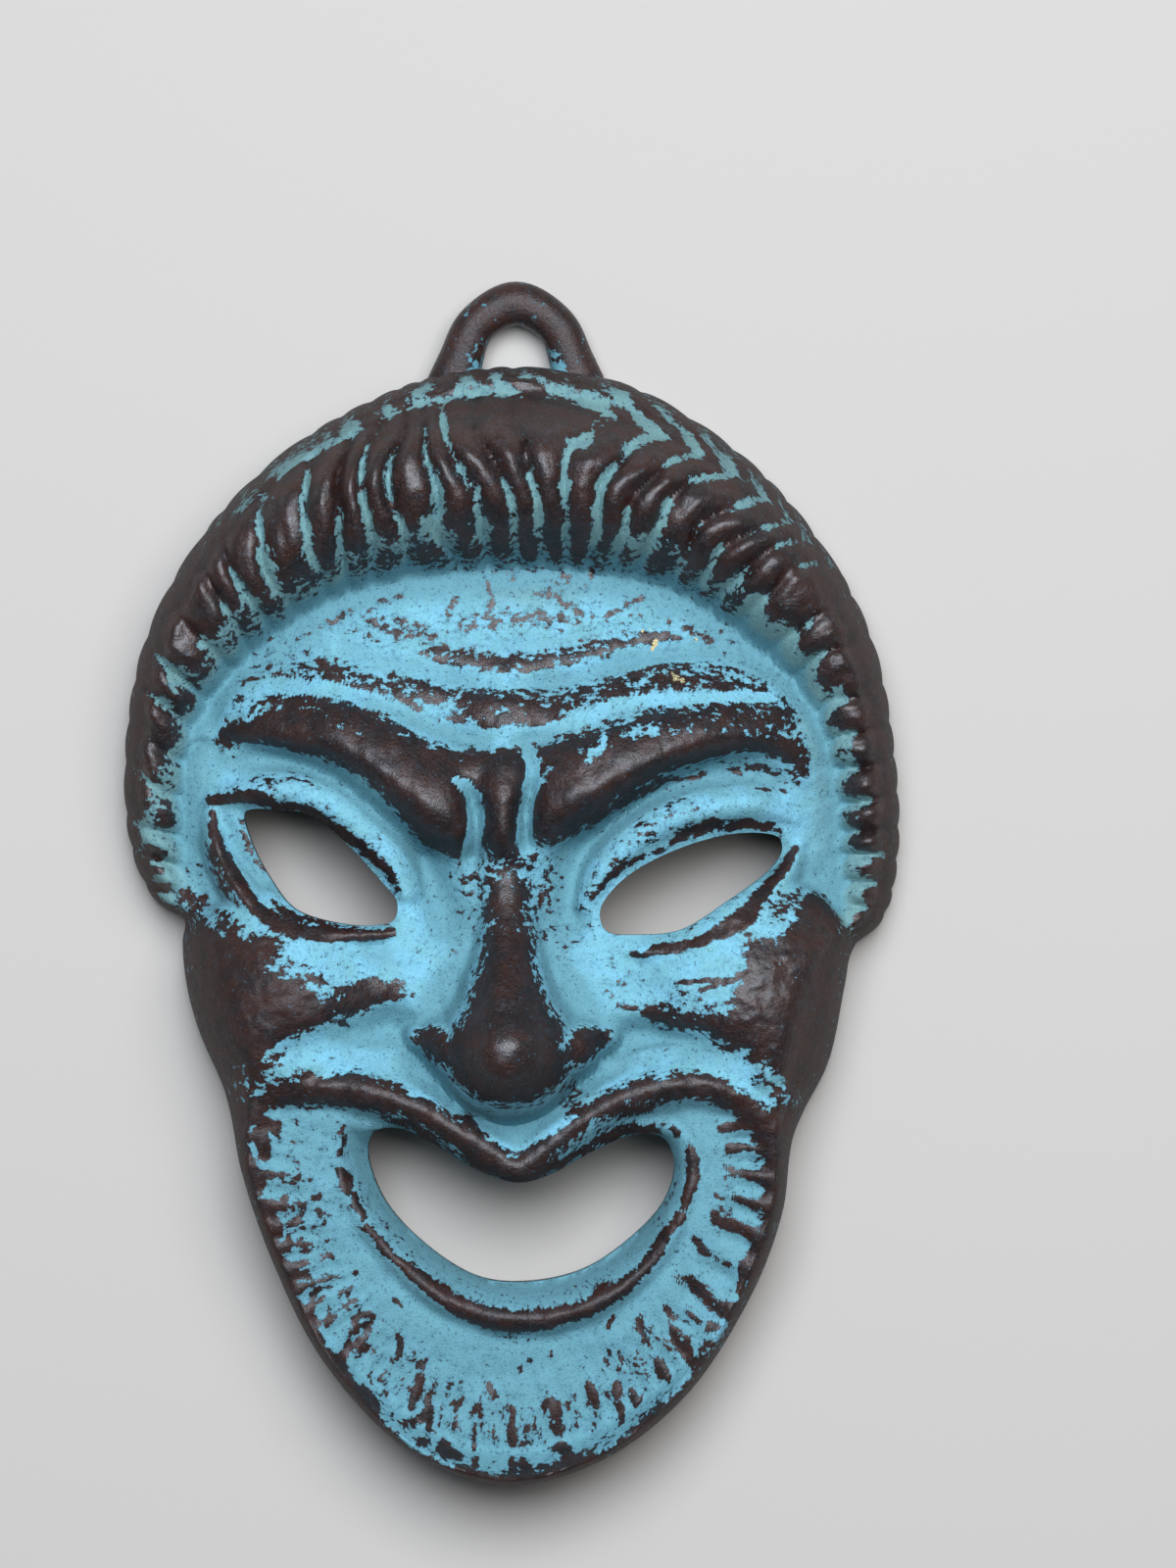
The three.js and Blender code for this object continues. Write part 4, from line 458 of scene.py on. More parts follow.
    [[-25.2, -25, 0.9, 0.9], [-25, -26.4, 1, 0.8], [-24.9, -27.4, 0.9, 0.7]],
    [[-22.2, -23.6, 0.3, 0.3], [-21.6, -24.2, 0.5, 0.4]],
    [[-26.6, -29, 0.4, 0.4], [-25.2, -29.4, 0.8, 0.5], [-23.8, -29.4, 0.7, 0.5], [-23.1, -29.4, 0.6, 0.3]],
    [[-26.6, -30.5, 1, 0.9], [-25.4, -30.4, 0.9, 0.7]],
    [[-25.4, -32.4, 0.9, 0.6], [-24, -32.6, 0.9, 0.6], [-22.9, -32.2, 0.8, 0.5]],
    [[-22.2, -30.3, 0.3, 0.2], [-21.3, -29.5, 0.6, 0.3]],
    [[-25.2, -34.2, 0.6, 0.4], [-23.6, -34.8, 0.7, 0.4]],
    [[-23.8, -37.2, 0.9, 0.5], [-23, -36.8, 0.6, 0.4]],
    [[-23.4, -39, 0.9, 0.6], [-21.9, -39, 0.8, 0.45]],
    [[-22.4, -40.7, 0.9, 0.6], [-21.6, -41.2, 0.8, 0.6]],
    [[-20.9, -39.6, 0.6, 0.4], [-20.2, -40, 0.4, 0.3]],
    [[-20.2, -42, 0.6, 0.4], [-19.6, -41.2, 0.6, 0.4]],
    [[-20, -43.8, 0.5, 0.3], [-19.8, -44.6, 0.9, 0.45], [-20.6, -45.2, 0.8, 0.5]],
    [[-18.6, -44.7, 0.8, 0.4], [-18.2, -44.4, 0.5, 0.3]],
    [[-21.7, -34, 0.6, 0.5], [-21.1, -33.6, 0.6, 0.4]],
    [[-21.4, -36.1, 0.7, 0.4], [-20.8, -35.9, 0.5, 0.3]],
    [[-19.8, -31.8, 0.5, 0.3], [-19.4, -31.7, 0.5, 0.3]],
    [[-19.5, -33, 0.6, 0.4], [-19.4, -33.6, 0.5, 0.3]],
    [[-18.9, -34.3, 0.5, 0.25], [-18.8, -34.4, 0.5, 0.25]],
    [[-21.1, -32.7, 0.5, 0.35], [-20.8, -32.9, 0.4, 0.3]],
    [[-20, -36.8, 0.5, 0.3], [-19, -37, 0.3, 0.3], [-18.1, -38, 0.5, 0.25]],
    [[-21.2, -38.4, 0.6, 0.4], [-20.6, -38.3, 0.5, 0.3]],
    [[-15.8, -39.5, 0.6, 0.4], [-15.6, -39.6, 0.6, 0.3]],
    [[-16.5, -41.5, 0.6, 0.3], [-16.4, -42.1, 0.4, 0.3]],
    [[-11.8, -42.2, 0.3, 0.3], [-11, -43, 0.5, 0.25]],
    [[-13.6, -42.8, 0.4, 0.3], [-13.2, -42.8, 0.4, 0.3]],
    [[-22.5, -35.6, 0.4, 0.3], [-22.6, -37, 0.6, 0.4]],
    [[-18.4, -43, 0.4, 0.3], [-18.4, -43.8, 0.4, 0.3]],
    [[-26, 26, 0, 0.6], [-24.2, 25, 0.1, 0.5]],
    [[-37.4, -0.8, 0.5, 0.4], [-36.2, -2, 0.7, 0.6], [-34.8, -3.2, 0.7, 0.7], [-33.6, -4.2, 0.6, 0.6]],
    [[-37, 3.2, 0.8, 0.8], [-35.8, 2.8, 0.7, 0.7]],
    [[-37, 1.6, 0.6, 0.4], [-35.6, 1.2, 0.5, 0.4]],
    [[-37.2, -0.5, 0.6, 0.6], [-35.2, -0.6, 0.6, 0.5]],
]
# Zones of scattered brown flecks: x, y, how dense, half width.
FLECKED = [
    [[-2.2, 3.4, 0.05, 3], [-1, 0, 0.05, 3], [-0.2, -3.5, 0.05, 2.6]],
    [[5.3, 0, -0.33, 2.2], [3.8, -4, -0.29, 2.2]],
    [[-4.2, -3, -0.37, 1.8], [-5.2, -8.5, -0.37, 2.2], [-6.7, -11, -0.41, 2]],
    [[3.8, -9, -0.48, 1.4], [5.8, -11, -0.44, 1.8]],
    [[-22.2, 26, -0.48, 2.4], [-26.2, 21, -0.44, 2.4], [-28.2, 18, -0.44, 2]],
    [[-12.2, 18, -0.26, 1.4], [-8.2, 17.5, -0.22, 1.4], [-2.2, 17.8, -0.07, 1.4],
     [3.8, 17.4, -0.11, 1.4], [7.8, 17, -0.26, 1.2]],
    [[19.8, 20, -0.29, 1.4], [24.8, 19.4, -0.29, 1.4]],
    [[15.8, 16.5, 0.14, 1.4], [21.8, 16.4, 0.14, 1.4], [26.8, 15.8, 0.1, 1.2]],
    [[-5.2, 26, -0.48, 3], [7.8, 27, -0.48, 2.6], [17.8, 26, -0.48, 2.6]],
    [[7.8, 5, -0.18, 0.7], [12.8, 8, -0.14, 0.8], [17.8, 11, -0.07, 0.9], [21.8, 11.8, -0.07, 1.1],
     [25.8, 11.4, -0.07, 1.2], [28.8, 10, -0.14, 1]],
    [[-22.2, 11.2, -0.29, 0.9], [-17.2, 10.2, -0.33, 1], [-13.2, 7, -0.37, 1]],
    [[-12.2, 33, -0.15, 1.4], [-6.2, 32.8, 0.3, 1.7], [-0.2, 33.2, 0.55, 2], [5.8, 33, 0.45, 1.8],
     [10.8, 32.2, -0.05, 1.4]],
    [[-28.2, 30, -0.48, 1.2], [-22.2, 34, -0.37, 1.2], [-17.2, 34.4, -0.37, 1.2]],
    [[17.8, 34, -0.41, 1.2], [23.8, 31, -0.44, 1.2]],
    [[-24.2, 10, -0.48, 1], [-30.2, 14, -0.37, 0.8]],
    [[-33.2, 4, -0.29, 1], [-32.6, 1, -0.07, 0.8]],
    [[-29.4, -2.5, -0.14, 1], [-27.6, -10, 0.23, 0.4]],
    [[-22.4, -8.5, -0.18, 1], [-18.7, -10, -0.22, 1]],
    [[-22.2, -16.2, -0.29, 1.2], [-26, -19.2, -0.07, 1.2], [-27.6, -22, -0.07, 1]],
    [[31.3, 1, -0.37, 1.2], [29.8, -0.5, -0.22, 1], [26.8, -2.5, -0.22, 1.2]],
    [[24.8, -19.5, -0.29, 1], [27.8, -22, -0.14, 1.2], [29.8, -24.5, -0.14, 1.4]],
    [[-5.2, -24, -0.29, 1], [-8.2, -26, -0.22, 0.9], [-4.2, -28, -0.14, 0.9]],
    [[3.8, -27, -0.29, 0.8], [9.8, -24, -0.29, 0.9], [15.8, -23.5, -0.26, 1]],
    [[-14.2, -30, -0.75, 1.2], [-12.2, -35, -0.75, 1.2], [-7.2, -39, -0.75, 1.2],
     [-0.2, -41.8, -0.75, 1], [7.8, -40, -0.75, 1.2], [12.8, -36, -0.75, 1], [16.8, -30, -0.75, 0.8]],
    [[-22.2, -28, -0.48, 2], [-21.2, -34, -0.29, 2.4], [-19.2, -40, -0.29, 2.6],
     [-15.2, -46, -0.33, 2.8], [-9.2, -52, -0.22, 3], [-2.2, -55, -0.26, 3], [4.8, -55, -0.26, 3],
     [11.8, -50, -0.29, 2.8], [16.8, -45, -0.37, 2.2]],
    [[21.8, -28, -0.52, 1.6], [20.8, -35, -0.52, 1.4]],
    [[9.8, -8, -0.52, 2], [11.8, -10, -0.48, 1.4], [17.8, -11.5, -0.44, 1.2], [23.8, -15, -0.37, 1.2]],
    [[9.8, -16, -0.52, 1.6], [15.8, -17, -0.56, 1.4]],
    [[-15.6, 20.3, 0.12, 1.3], [-11.2, 20, 0.18, 1.5], [-7.2, 19.4, 0.21, 1.7], [-2.2, 18.8, 0.21, 2],
     [2.8, 18.8, 0.21, 2], [7.8, 19.4, 0.24, 1.8], [11.8, 20, 0.21, 1.6], [16, 20.8, 0.18, 1.3],
     [19.8, 20.2, 0.05, 1.2]],
    [[-23.8, 21.6, 0, 1.4], [-20.4, 21, 0.15, 1.8], [-17.2, 21, 0.12, 1.7]],
    [[-8.2, 23.6, 0.1, 0.9], [-5.2, 23, 0.18, 1.1], [-1.7, 22.5, 0.21, 1.2], [2.3, 22.3, 0.15, 1]],
    [[3.6, 23, 0.12, 1], [7.8, 23.9, 0.21, 1.2], [11.8, 24.7, 0.18, 1], [14, 25.4, 0, 0.8]],
    [[-16, 26, -0.05, 1], [-12.2, 25.6, 0.05, 1.2], [-7.2, 25, -0.05, 1]],
    [[-5.2, 26.4, -0.15, 0.9], [-0.2, 26.8, -0.1, 1], [7.8, 26.8, -0.2, 1]],
    [[17.8, 21, -0.05, 1.6], [22.8, 19.6, 0, 2.2], [27.3, 17, 0, 2]],
    [[-24, 18.4, 0.1, 1.2], [-19.2, 18, 0.15, 1.3], [-14.2, 16.8, 0.12, 1.3], [-9.2, 15.8, 0.12, 1.2],
     [-4.2, 15, 0, 0.9]],
    [[3.8, 15.8, 0, 0.8], [8.8, 16.8, 0.12, 1.1], [13.8, 18, 0.15, 1.3], [18.8, 18.4, 0.12, 1.3],
     [24.8, 17.6, 0.1, 1.3]],
    [[6.8, -3.5, -0.1, 1.4], [5.3, -6.5, -0.15, 1.2]],
    [[-5.2, -3.5, -0.25, 1.4], [-6.7, -6, -0.3, 1.4]],
    [[-29, -0.5, -0.1, 1.4], [-30.8, 3, -0.25, 1.2]],
    [[-6.7, -23.8, 0.1, 1.2], [-3.4, -26.2, 0.35, 1.3], [-0.2, -28.4, 0.5, 1.4], [3, -27.2, 0.35, 1.2]],
    [[-27.2, 26, -0.1, 1.4], [-22.2, 30, -0.1, 1.2], [-18.2, 32, -0.15, 1], [-12.2, 31, -0.1, 0.9]],
    [[3.8, 30, 0, 0.8], [9.8, 31, -0.2, 1], [16.8, 30, -0.25, 1.2], [21.8, 26, -0.2, 1.2],
     [26.8, 21, -0.25, 1.2]],
    [[-0.2, 3.2, 0.12, 5], [0, -0.5, 0.16, 5.6], [0.2, -4.5, 0.12, 4.8], [0.2, -6.2, 0, 3]],
    [[-19.2, 26, -0.1, 0.6], [-17, 27.2, 0.3, 0.5], [-15, 28.2, 0, 0.4]],
    [[-14.6, 27.8, 0.2, 0.4], [-12.2, 28.8, 0.5, 0.5], [-10.2, 29.6, 0, 0.4]],
    [[-2.4, 30.8, 0.3, 0.4], [-2, 28.8, 0.5, 0.5], [-2.4, 26.6, 0.2, 0.4]],
    [[-5.4, 29.6, 0.3, 0.4], [-5.8, 28.2, 0.5, 0.5], [-6.4, 27, 0.1, 0.4]],
    [[2.6, 29.4, 0.2, 0.4], [5, 28.8, 0.5, 0.5], [6.8, 27.6, 0.2, 0.4]],
    [[8.8, 26.6, 0.2, 0.3], [11.4, 28.2, 0.5, 0.4], [14.2, 29.2, 0.2, 0.3]],
    [[-26, 23.2, 0, 0.5], [-23.2, 24.8, 0.3, 0.6], [-20.4, 25.4, 0, 0.4]],
    [[1.8, 27.2, 0.1, 0.3], [4.4, 26.6, 0.4, 0.4], [6.4, 26.8, 0.1, 0.3]],
    [[9.8, 24, 0.1, 0.5], [13, 24.8, 0.4, 0.7], [16.8, 25, 0.1, 0.5]],
    [[-28.2, 20, 0, 0.5], [-26, 21, 0.3, 0.6], [-23.6, 20.8, 0, 0.5]],
    [[17.8, 26, 0.1, 0.3], [20, 24.6, 0.4, 0.5], [22.2, 22.8, 0.1, 0.4]],
]
# Zones inside the brown where verdigris is left in spots: x, y, how much, half width.
MOTTLED = [
    [[11.8, 16, 0.75, 1.6], [16.8, 15.8, 0.6, 1.8], [21.8, 16.2, 0.75, 1.6], [26.8, 15.2, 0.7, 1.2]],
    [[6.8, 13.5, 1.2, 0.9], [8.4, 13.2, 1.2, 1]],
    [[3.8, 11, 0.9, 0.8], [3, 12.5, 1, 0.9]],
    [[9.3, 15.8, 1.6, 0.5], [9.4, 14, 1.4, 0.5]],
    [[-5.2, 12.6, 0.9, 0.5], [-4.8, 12.4, 0.9, 0.5]],
    [[-26.2, 16.5, 0.5, 1], [-22.2, 17.8, 0.6, 1.2], [-19.2, 17.4, 0.5, 1]],
    [[-29.4, -5.2, 0.6, 1.2], [-30.8, -3, 0.5, 1]],
    [[27.8, -4, 0.6, 1.6], [26.8, -7.5, 0.4, 1.8], [29.8, -10, 0.5, 2], [27.8, -16, 0.5, 1.8]],
    [[-15.7, -21, 0.9, 0.7], [-14.4, -21.1, 0.9, 0.5]],
    [[-19, -21.8, 0.6, 0.4], [-18.6, -22.4, 0.6, 0.4]],
    [[-32.2, 0, 0.5, 0.8], [-32.2, -6, 0.3, 0.8]],
    [[-32.6, -2.5, 0.55, 1.6], [-29, -4.8, 0.6, 1.2]],
    [[-31.7, 0, 0.5, 1.6], [-33.2, 2, 0.5, 1.2]],
    [[-12.2, 15.5, 0.35, 1.2], [-5.2, 13.5, 0.35, 1.2]],
    [[8.8, 13, 0.35, 1.6], [12.8, 14.8, 0.3, 1.4]],
    [[-25.2, 15.5, 0.35, 1.2], [-19.2, 16, 0.3, 1.4]],
    [[-22.2, 18.6, 0.6, 1.2], [-17.2, 16.2, 0.85, 1.5], [-12.2, 13.6, 0.5, 1]],
    [[7.4, 13.2, 0.5, 1], [11.8, 14.8, 0.85, 1.4], [16.8, 16, 0.9, 1.7], [23, 16, 0.9, 1.8],
     [27.8, 14, 0.5, 1.2]],
]
# Furrows that stay filled with verdigris inside the brown: x, y, how much, half width.
FILLED = [
    [[-5.5, 10.5, 1.1, 0.5], [-4.6, 9.9, 1.3, 0.7], [-3.8, 8.8, 1.3, 0.8], [-3.5, 7.2, 1.3, 0.9],
     [-3.6, 5.5, 1.3, 0.9], [-4, 3.8, 1.3, 0.9], [-4.2, 2.4, 1.2, 0.9]],
    [[1.6, 13.6, 1, 0.6], [2.2, 12, 1.1, 0.8], [2.2, 10, 1.1, 0.9], [1.8, 8.5, 1.2, 0.7],
     [1.5, 6.8, 1.2, 0.8], [1.4, 5.2, 1.2, 0.9], [1.6, 3.8, 1.2, 1]],
    [[-17, 24, 0.8, 0.8], [-6.2, 21, 1, 0.8], [0.3, 20.6, 1, 0.8], [6.8, 21, 1, 0.8], [14, 23, 1, 0.8],
     [21, 23.5, 0.8, 0.7]],
    [[-24, 20, 0.8, 0.8], [-17.2, 19.4, 0.9, 0.7], [-12.2, 17.8, 1, 0.7], [-8.2, 15.8, 1, 0.8],
     [-2.2, 14.8, 1.2, 0.8], [3.8, 15.4, 1, 0.7], [7.8, 17, 0.9, 0.7], [12.8, 18.4, 1, 0.6],
     [19.8, 18.8, 0.8, 0.6], [26, 18.8, 0.7, 0.6]],
    [[7.4, 12.3, 0, 0.8], [8.8, 13.6, 0.05, 1.1], [9.6, 15.2, 0, 0.8]],
    [[1.2, 9.8, 0, 0.7], [2.8, 10.4, 0.02, 1], [4.2, 11.4, 0, 0.7]],
]
# The brown band round the rim of the beard, seen from the hub: angle, width.
BEARD_BAND = [
    [-90, 2.2], [-58, 2], [-48, 2.4], [-42, 3], [-35, 3.4], [-28, 0.4], [-20, -2], [200, -2], [207, 1.4],
    [215, 2.2], [270, 2.2],
]
# Bright nicks through to clean metal: x, y, half width.
NICKS = [
    [14.6, 24.4, 0.5], [14.1, 25.8, 0.25], [13.3, 25.6, 0.3], [14.4, 23.7, 0.3], [18.7, 24.7, 0.25],
    [16.6, 20.8, 0.45], [17.3, 20.5, 0.35], [16.1, 21.3, 0.25], [6.2, 27.4, 0.2], [15.6, 26.4, 0.2],
]
# Where hands have polished the metal more, or less, than elsewhere: x, y, half width, share.
HANDLED = [[-26, -11, 9, -0.8], [0, -15.5, 6, 0.5]]

FOREHEAD = 17.0  # above this the patina is scratched, and nowhere rubbed to broad brown
UNTOUCHED = -1.35  # wear where no metal shows
ON_SIDES = 0.42  # wear on the sides
LOCK_WIDTH = 4.0  # about how wide a lock is
INNER_HAIR = 44.0  # nearer the hub than this, wear of the face may reach in between the locks
STEP = 0.125  # spacing of the plan on which heights are worked out
PLAN_X = np.arange(-42, 42 + STEP / 2, STEP)
PLAN_Y = np.arange(-64, 54.5 + STEP / 2, STEP)
X, Y = np.meshgrid(PLAN_X, PLAN_Y)
FAR_BELOW = -99.0
BELOW_RIM = -3.0  # how low the tools start that cut the casting
RELIEF = 0.12 * MM  # height of the finest relief, which is only bump


# Mathematics of the modelled surface


def ease(low, high, value):
    share = np.clip((value - low) / (high - low), 0, 1)
    return share * share * (3 - 2 * share)


def blend_up(a, b, fillet):
    """The higher of two surfaces, with a fillet of that size where they cross."""
    near = np.maximum(fillet - np.abs(a - b), 0) / fillet
    return np.maximum(a, b) + near * near * fillet / 4


def blur(field, size):
    """A Gaussian blur over the plan. Its size is in millimetres."""
    down = np.fft.fftfreq(field.shape[0], STEP)[:, None]
    across = np.fft.rfftfreq(field.shape[1], STEP)[None, :]
    keep = np.exp(-2 * (math.pi * size) ** 2 * (down**2 + across**2))
    return np.fft.irfft2(np.fft.rfft2(field) * keep, field.shape)


def unevenness(size, seed):
    """Smooth seeded noise over the plan with features of that size and a spread of one."""
    field = blur(np.random.default_rng(seed).standard_normal(X.shape), size / 2.5)
    return np.clip(field / field.std(), -2.5, 2.5)


def smooth_line(rows, closed=False, step=0.5):
    """A smooth line through rows of numbers, x and y first: a centripetal Catmull-Rom curve, sampled."""
    rows = np.array(rows, float)
    count = len(rows)

    def row(i):
        return rows[i % count] if closed else rows[min(max(i, 0), count - 1)]

    def gap(a, b):
        return max(math.sqrt(math.hypot(a[0] - b[0], a[1] - b[1])), 1e-4)

    line = []
    for i in range(count if closed else count - 1):
        a, b, c, d = (row(i + k) for k in (-1, 0, 1, 2))
        steps = max(2, math.ceil(math.hypot(c[0] - b[0], c[1] - b[1]) / step))
        bc = gap(b, c)
        ab = bc if not closed and i == 0 else gap(a, b)
        cd = bc if not closed and i == count - 2 else gap(c, d)
        leave = ((b - a) / ab - (c - a) / (ab + bc) + (c - b) / bc) * bc
        arrive = ((c - b) / bc - (d - b) / (bc + cd) + (d - c) / cd) * bc
        t = (np.arange(steps) / steps)[:, None]
        cubed = 2 * b - 2 * c + leave + arrive
        squared = -3 * b + 3 * c - 2 * leave - arrive
        line.append(((cubed * t + squared) * t + leave) * t + b)
    if not closed:
        line.append(rows[-1:])
    return np.vstack(line)


def nearest(line, reach):
    """At each spot of the plan within reach of the line: how far off the line is, whether the spot is on
    its left, and the line's other numbers at its nearest place."""
    squared = np.full(X.shape, float(reach) ** 2)
    left = np.zeros(X.shape, bool)
    values = np.zeros(X.shape + (line.shape[1] - 2,))
    values[...] = line[0, 2:]
    for p, q in zip(line[:-1], line[1:]):
        columns = slice(*np.searchsorted(PLAN_X, (min(p[0], q[0]) - reach, max(p[0], q[0]) + reach)))
        rows = slice(*np.searchsorted(PLAN_Y, (min(p[1], q[1]) - reach, max(p[1], q[1]) + reach)))
        x, y = PLAN_X[None, columns] - p[0], PLAN_Y[rows, None] - p[1]
        dx, dy = q[0] - p[0], q[1] - p[1]
        along = np.clip((x * dx + y * dy) / (dx * dx + dy * dy), 0, 1)
        away_x, away_y = x - along * dx, y - along * dy
        found = away_x**2 + away_y**2
        nearer = found < squared[rows, columns]
        squared[rows, columns][nearer] = found[nearer]
        left[rows, columns][nearer] = (dx * away_y - dy * away_x > 0)[nearer]
        values[rows, columns][nearer] = (p[2:] + along[..., None] * (q[2:] - p[2:]))[nearer]
    return np.sqrt(squared), left, values


def ridge(rows, drop, power):
    """A ridge falls by drop half widths at its half width, and ever faster beyond it. Two drops and two
    powers give its left side and its right side."""
    line = smooth_line(rows)
    reach = 2.4 * line[:, 3:5].max() + 1
    distance, left, values = nearest(line, reach)
    half = np.where(left, values[..., 1], values[..., 2])
    drop = np.where(left, *np.broadcast_to(drop, 2))
    power = np.where(left, *np.broadcast_to(power, 2))
    height = values[..., 0] - drop * half * (distance / half) ** power
    return np.where(distance < reach, height, FAR_BELOW)


def groove(rows):
    line = smooth_line(rows)
    distance, _, values = nearest(line, 3 * line[:, 3].max())
    return values[..., 0] * np.exp(-((distance / values[..., 1]) ** 2))


def stroke(rows):
    """A stroke of wear: its strength on the line, and one less at its half width."""
    line = smooth_line(rows)
    distance, _, values = nearest(line, 2.2 * line[:, 3].max() + 0.5)
    strength, half = values[..., 0], values[..., 1]
    return strength - (np.maximum(strength, 0) + 0.3) * (distance / half) ** 2


def inside_by(line, reach):
    """How far inside a closed line each spot lies, up to that reach. Outside it is less than nothing."""
    inside = np.zeros(X.shape, bool)
    for p, q in zip(line, np.roll(line, 1, axis=0)):
        rows = (p[1] > PLAN_Y) != (q[1] > PLAN_Y)
        if rows.any():
            crossing = (q[0] - p[0]) * (PLAN_Y[rows] - p[1]) / (q[1] - p[1]) + p[0]
            inside[rows] ^= PLAN_X[None, :] < crossing[:, None]
    distance = nearest(np.vstack([line, line[:1]]), reach)[0]
    return np.where(inside, distance, -distance)


def sample(field, x, y):
    """A field of the plan read between its spots."""
    column = np.clip((x - PLAN_X[0]) / STEP, 0, len(PLAN_X) - 1.001)
    row = np.clip((y - PLAN_Y[0]) / STEP, 0, len(PLAN_Y) - 1.001)
    i, j = column.astype(int), row.astype(int)
    u, v = column - i, row - j
    low = field[j, i] * (1 - u) + field[j, i + 1] * u
    return low * (1 - v) + (field[j + 1, i] * (1 - u) + field[j + 1, i + 1] * u) * v


def seen_from(hub, x, y, lowest):
    """Angle in degrees, from lowest up, and distance from the hub."""
    angle = np.degrees(np.arctan2(y - hub[1], x - hub[0]))
    return np.mod(angle - lowest, 360) + lowest, np.hypot(x - hub[0], y - hub[1])


def table(rows, at, column=1):
    rows = np.array(rows, float)
    return np.interp(at, rows[:, 0], rows[:, column])


# The rim and the locks, seen from the hub

outline = smooth_line(OUTLINE, True, 0.5)
rim_angle, rim_reach = seen_from(HUB, outline[:, 0], outline[:, 1], -90)
rim_order = np.argsort(rim_angle)
RIM = np.column_stack([rim_angle, rim_reach, outline[:, 2]])[rim_order]
RIM = np.vstack([RIM[-1] - (360, 0, 0), RIM, RIM[0] + (360, 0, 0)])
FIRST_LOCK, LAST_LOCK = -2.6, 177.6  # angles of the ends of the roll of hair
LEAN_FROM, BEND_FROM = 45.0, 44.5  # how far from the hub the locks start to lean and to bend


def lock_phase(angle, distance):
    """Counts the locks round the roll of hair. It is whole in the cuts between them. The locks lean as they
    run up to the crease, and bend over near its top. On the right the strands behind it run back the other
    way."""
    crease = table(CREASE, angle)
    up_to_crease = np.minimum(distance, crease)
    bends_right = 0.08 * (1 - ease(76, 90, angle)) * ease(40, 50, angle)
    bends_left = 0.05 * ease(97, 104, angle) * (1 - ease(125, 135, angle))
    lean = table(LOCK_LEAN, angle) * (up_to_crease - LEAN_FROM)
    lean = lean + (bends_right + bends_left) * np.maximum(up_to_crease - BEND_FROM, 0) ** 2
    slant = lean - table(STRAND_LEAN, angle) * np.maximum(distance - crease, 0)
    cuts = np.array(LOCK_CUTS)[:, 0]
    return np.interp(angle + slant, cuts, np.arange(len(cuts)))


def warped_lock_phase(angle, distance):
    """The locks over the plan wander a little, as hand-modelled ones do."""
    return lock_phase(angle, distance) + 0.1 * unevenness(4, 1)


def has_locks(angle):
    return ease(FIRST_LOCK - 1, FIRST_LOCK + 2, angle) * (1 - ease(LAST_LOCK - 2, LAST_LOCK + 1, angle))


def cut_between(phase, power):
    """0 on the crest of each lock, 1 at the bottom of the cut beside it."""
    return 1 - np.abs(np.sin(math.pi * phase)) ** power


def rim_toward(x, y, notch):
    """Seen from the hub: a spot's angle and distance, how far out the rim is there, and how far in the side
    rounds over."""
    angle, distance = seen_from(HUB, x, y, -90)
    reach = table(RIM, angle)
    cut = cut_between(lock_phase(angle, reach), 0.6)
    return angle, distance, reach - notch * has_locks(angle) * cut, table(RIM, angle, 2)


# Heights of the parts of the face


def face_height():
    middle = smooth_line([[a, b, 0] for a, b in MIDDLE])
    z = np.interp(Y, middle[:, 0], middle[:, 1]) - 8.2 * (np.abs(X - 0.5) / 33) ** 2.6
    for x, y, top, half_width, half_height in CHEEKBONES:
        away = np.hypot((X - x) / half_width, (Y - y) / half_height)
        dome = top - half_width * (1 - np.sqrt(np.maximum(1 - away**2, 0)))
        z = blend_up(z, dome - 6 * np.maximum(away - 1, 0), 3.0)
    for rows in CHEEK_FOLDS:
        z = blend_up(z, ridge(rows, 0.8, 2), 2.0)
    z = blend_up(z, ridge(NOSE_FLANKS, 0.9, 2), 2.5)
    for rows in BROWS:
        z = blend_up(z, ridge(rows, (0.62, 1.0), (1.5, 2.3)), 1.2)
    z = blend_up(z, ridge(BETWEEN_BROWS, 0.5, 2), 1.5)
    z = blend_up(z, ridge(FROWN, 0.8, 2), 1.0)
    for rows in GROOVES:
        z = z - groove(rows)
    for rows in LIDS:
        z = blend_up(z, ridge(rows, 1.1, 2), 0.7)
    for rows in NOSTRIL_WINGS:
        z = blend_up(z, ridge(rows, 1.1, 2.4), 1.0)
    z = blend_up(z, ridge(NOSE_BRIDGE, 1.0, 2.5), 1.4)
    x, y, top, half = NOSE_BALL
    return blend_up(z, top - half * (np.hypot(X - x, Y - y) / half) ** 2.4, 0.8)


def hair_height(angle, distance, lock_depth):
    """The roll of hair with the cuts between its locks, and the cap of hair behind its crease."""
    away, left, values = nearest(smooth_line(HAIR_ROLL), 17)
    half = np.where(left, values[..., 1], values[..., 2])
    share = away / half
    z = values[..., 0] - np.where(left, 1.25 * half * share**2.6, 1.0 * half * share**2.2)
    crown = 16.5 - 0.7 * np.maximum(0, 32 - Y) - np.where(left, 2 * away, 0)
    z = blend_up(z, crown, 1.0)
    on_roll = 1 - ease(0.85, 1.25, share)
    phase = warped_lock_phase(angle, distance)
    behind = distance - table(CREASE, angle)
    on_cap = ease(-0.4, 0.6, behind)
    combed = 1 - ease(88, 98, angle)
    depth = lock_depth * table(LOCK_DEPTH, angle) * (1 + 0.2 * unevenness(5, 2))
    depth = depth * np.where(left, on_roll, 1.0) * (1 - on_cap) + 0.55 * on_cap * combed
    z = z - has_locks(angle) * depth * cut_between(phase, 0.5)
    z = z - 0.5 * np.exp(-((behind / 0.5) ** 2))
    strands = cut_between(phase * 3 + 0.35 * unevenness(6, 3), 0.9)
    return z - 0.14 * has_locks(angle) * on_roll * strands


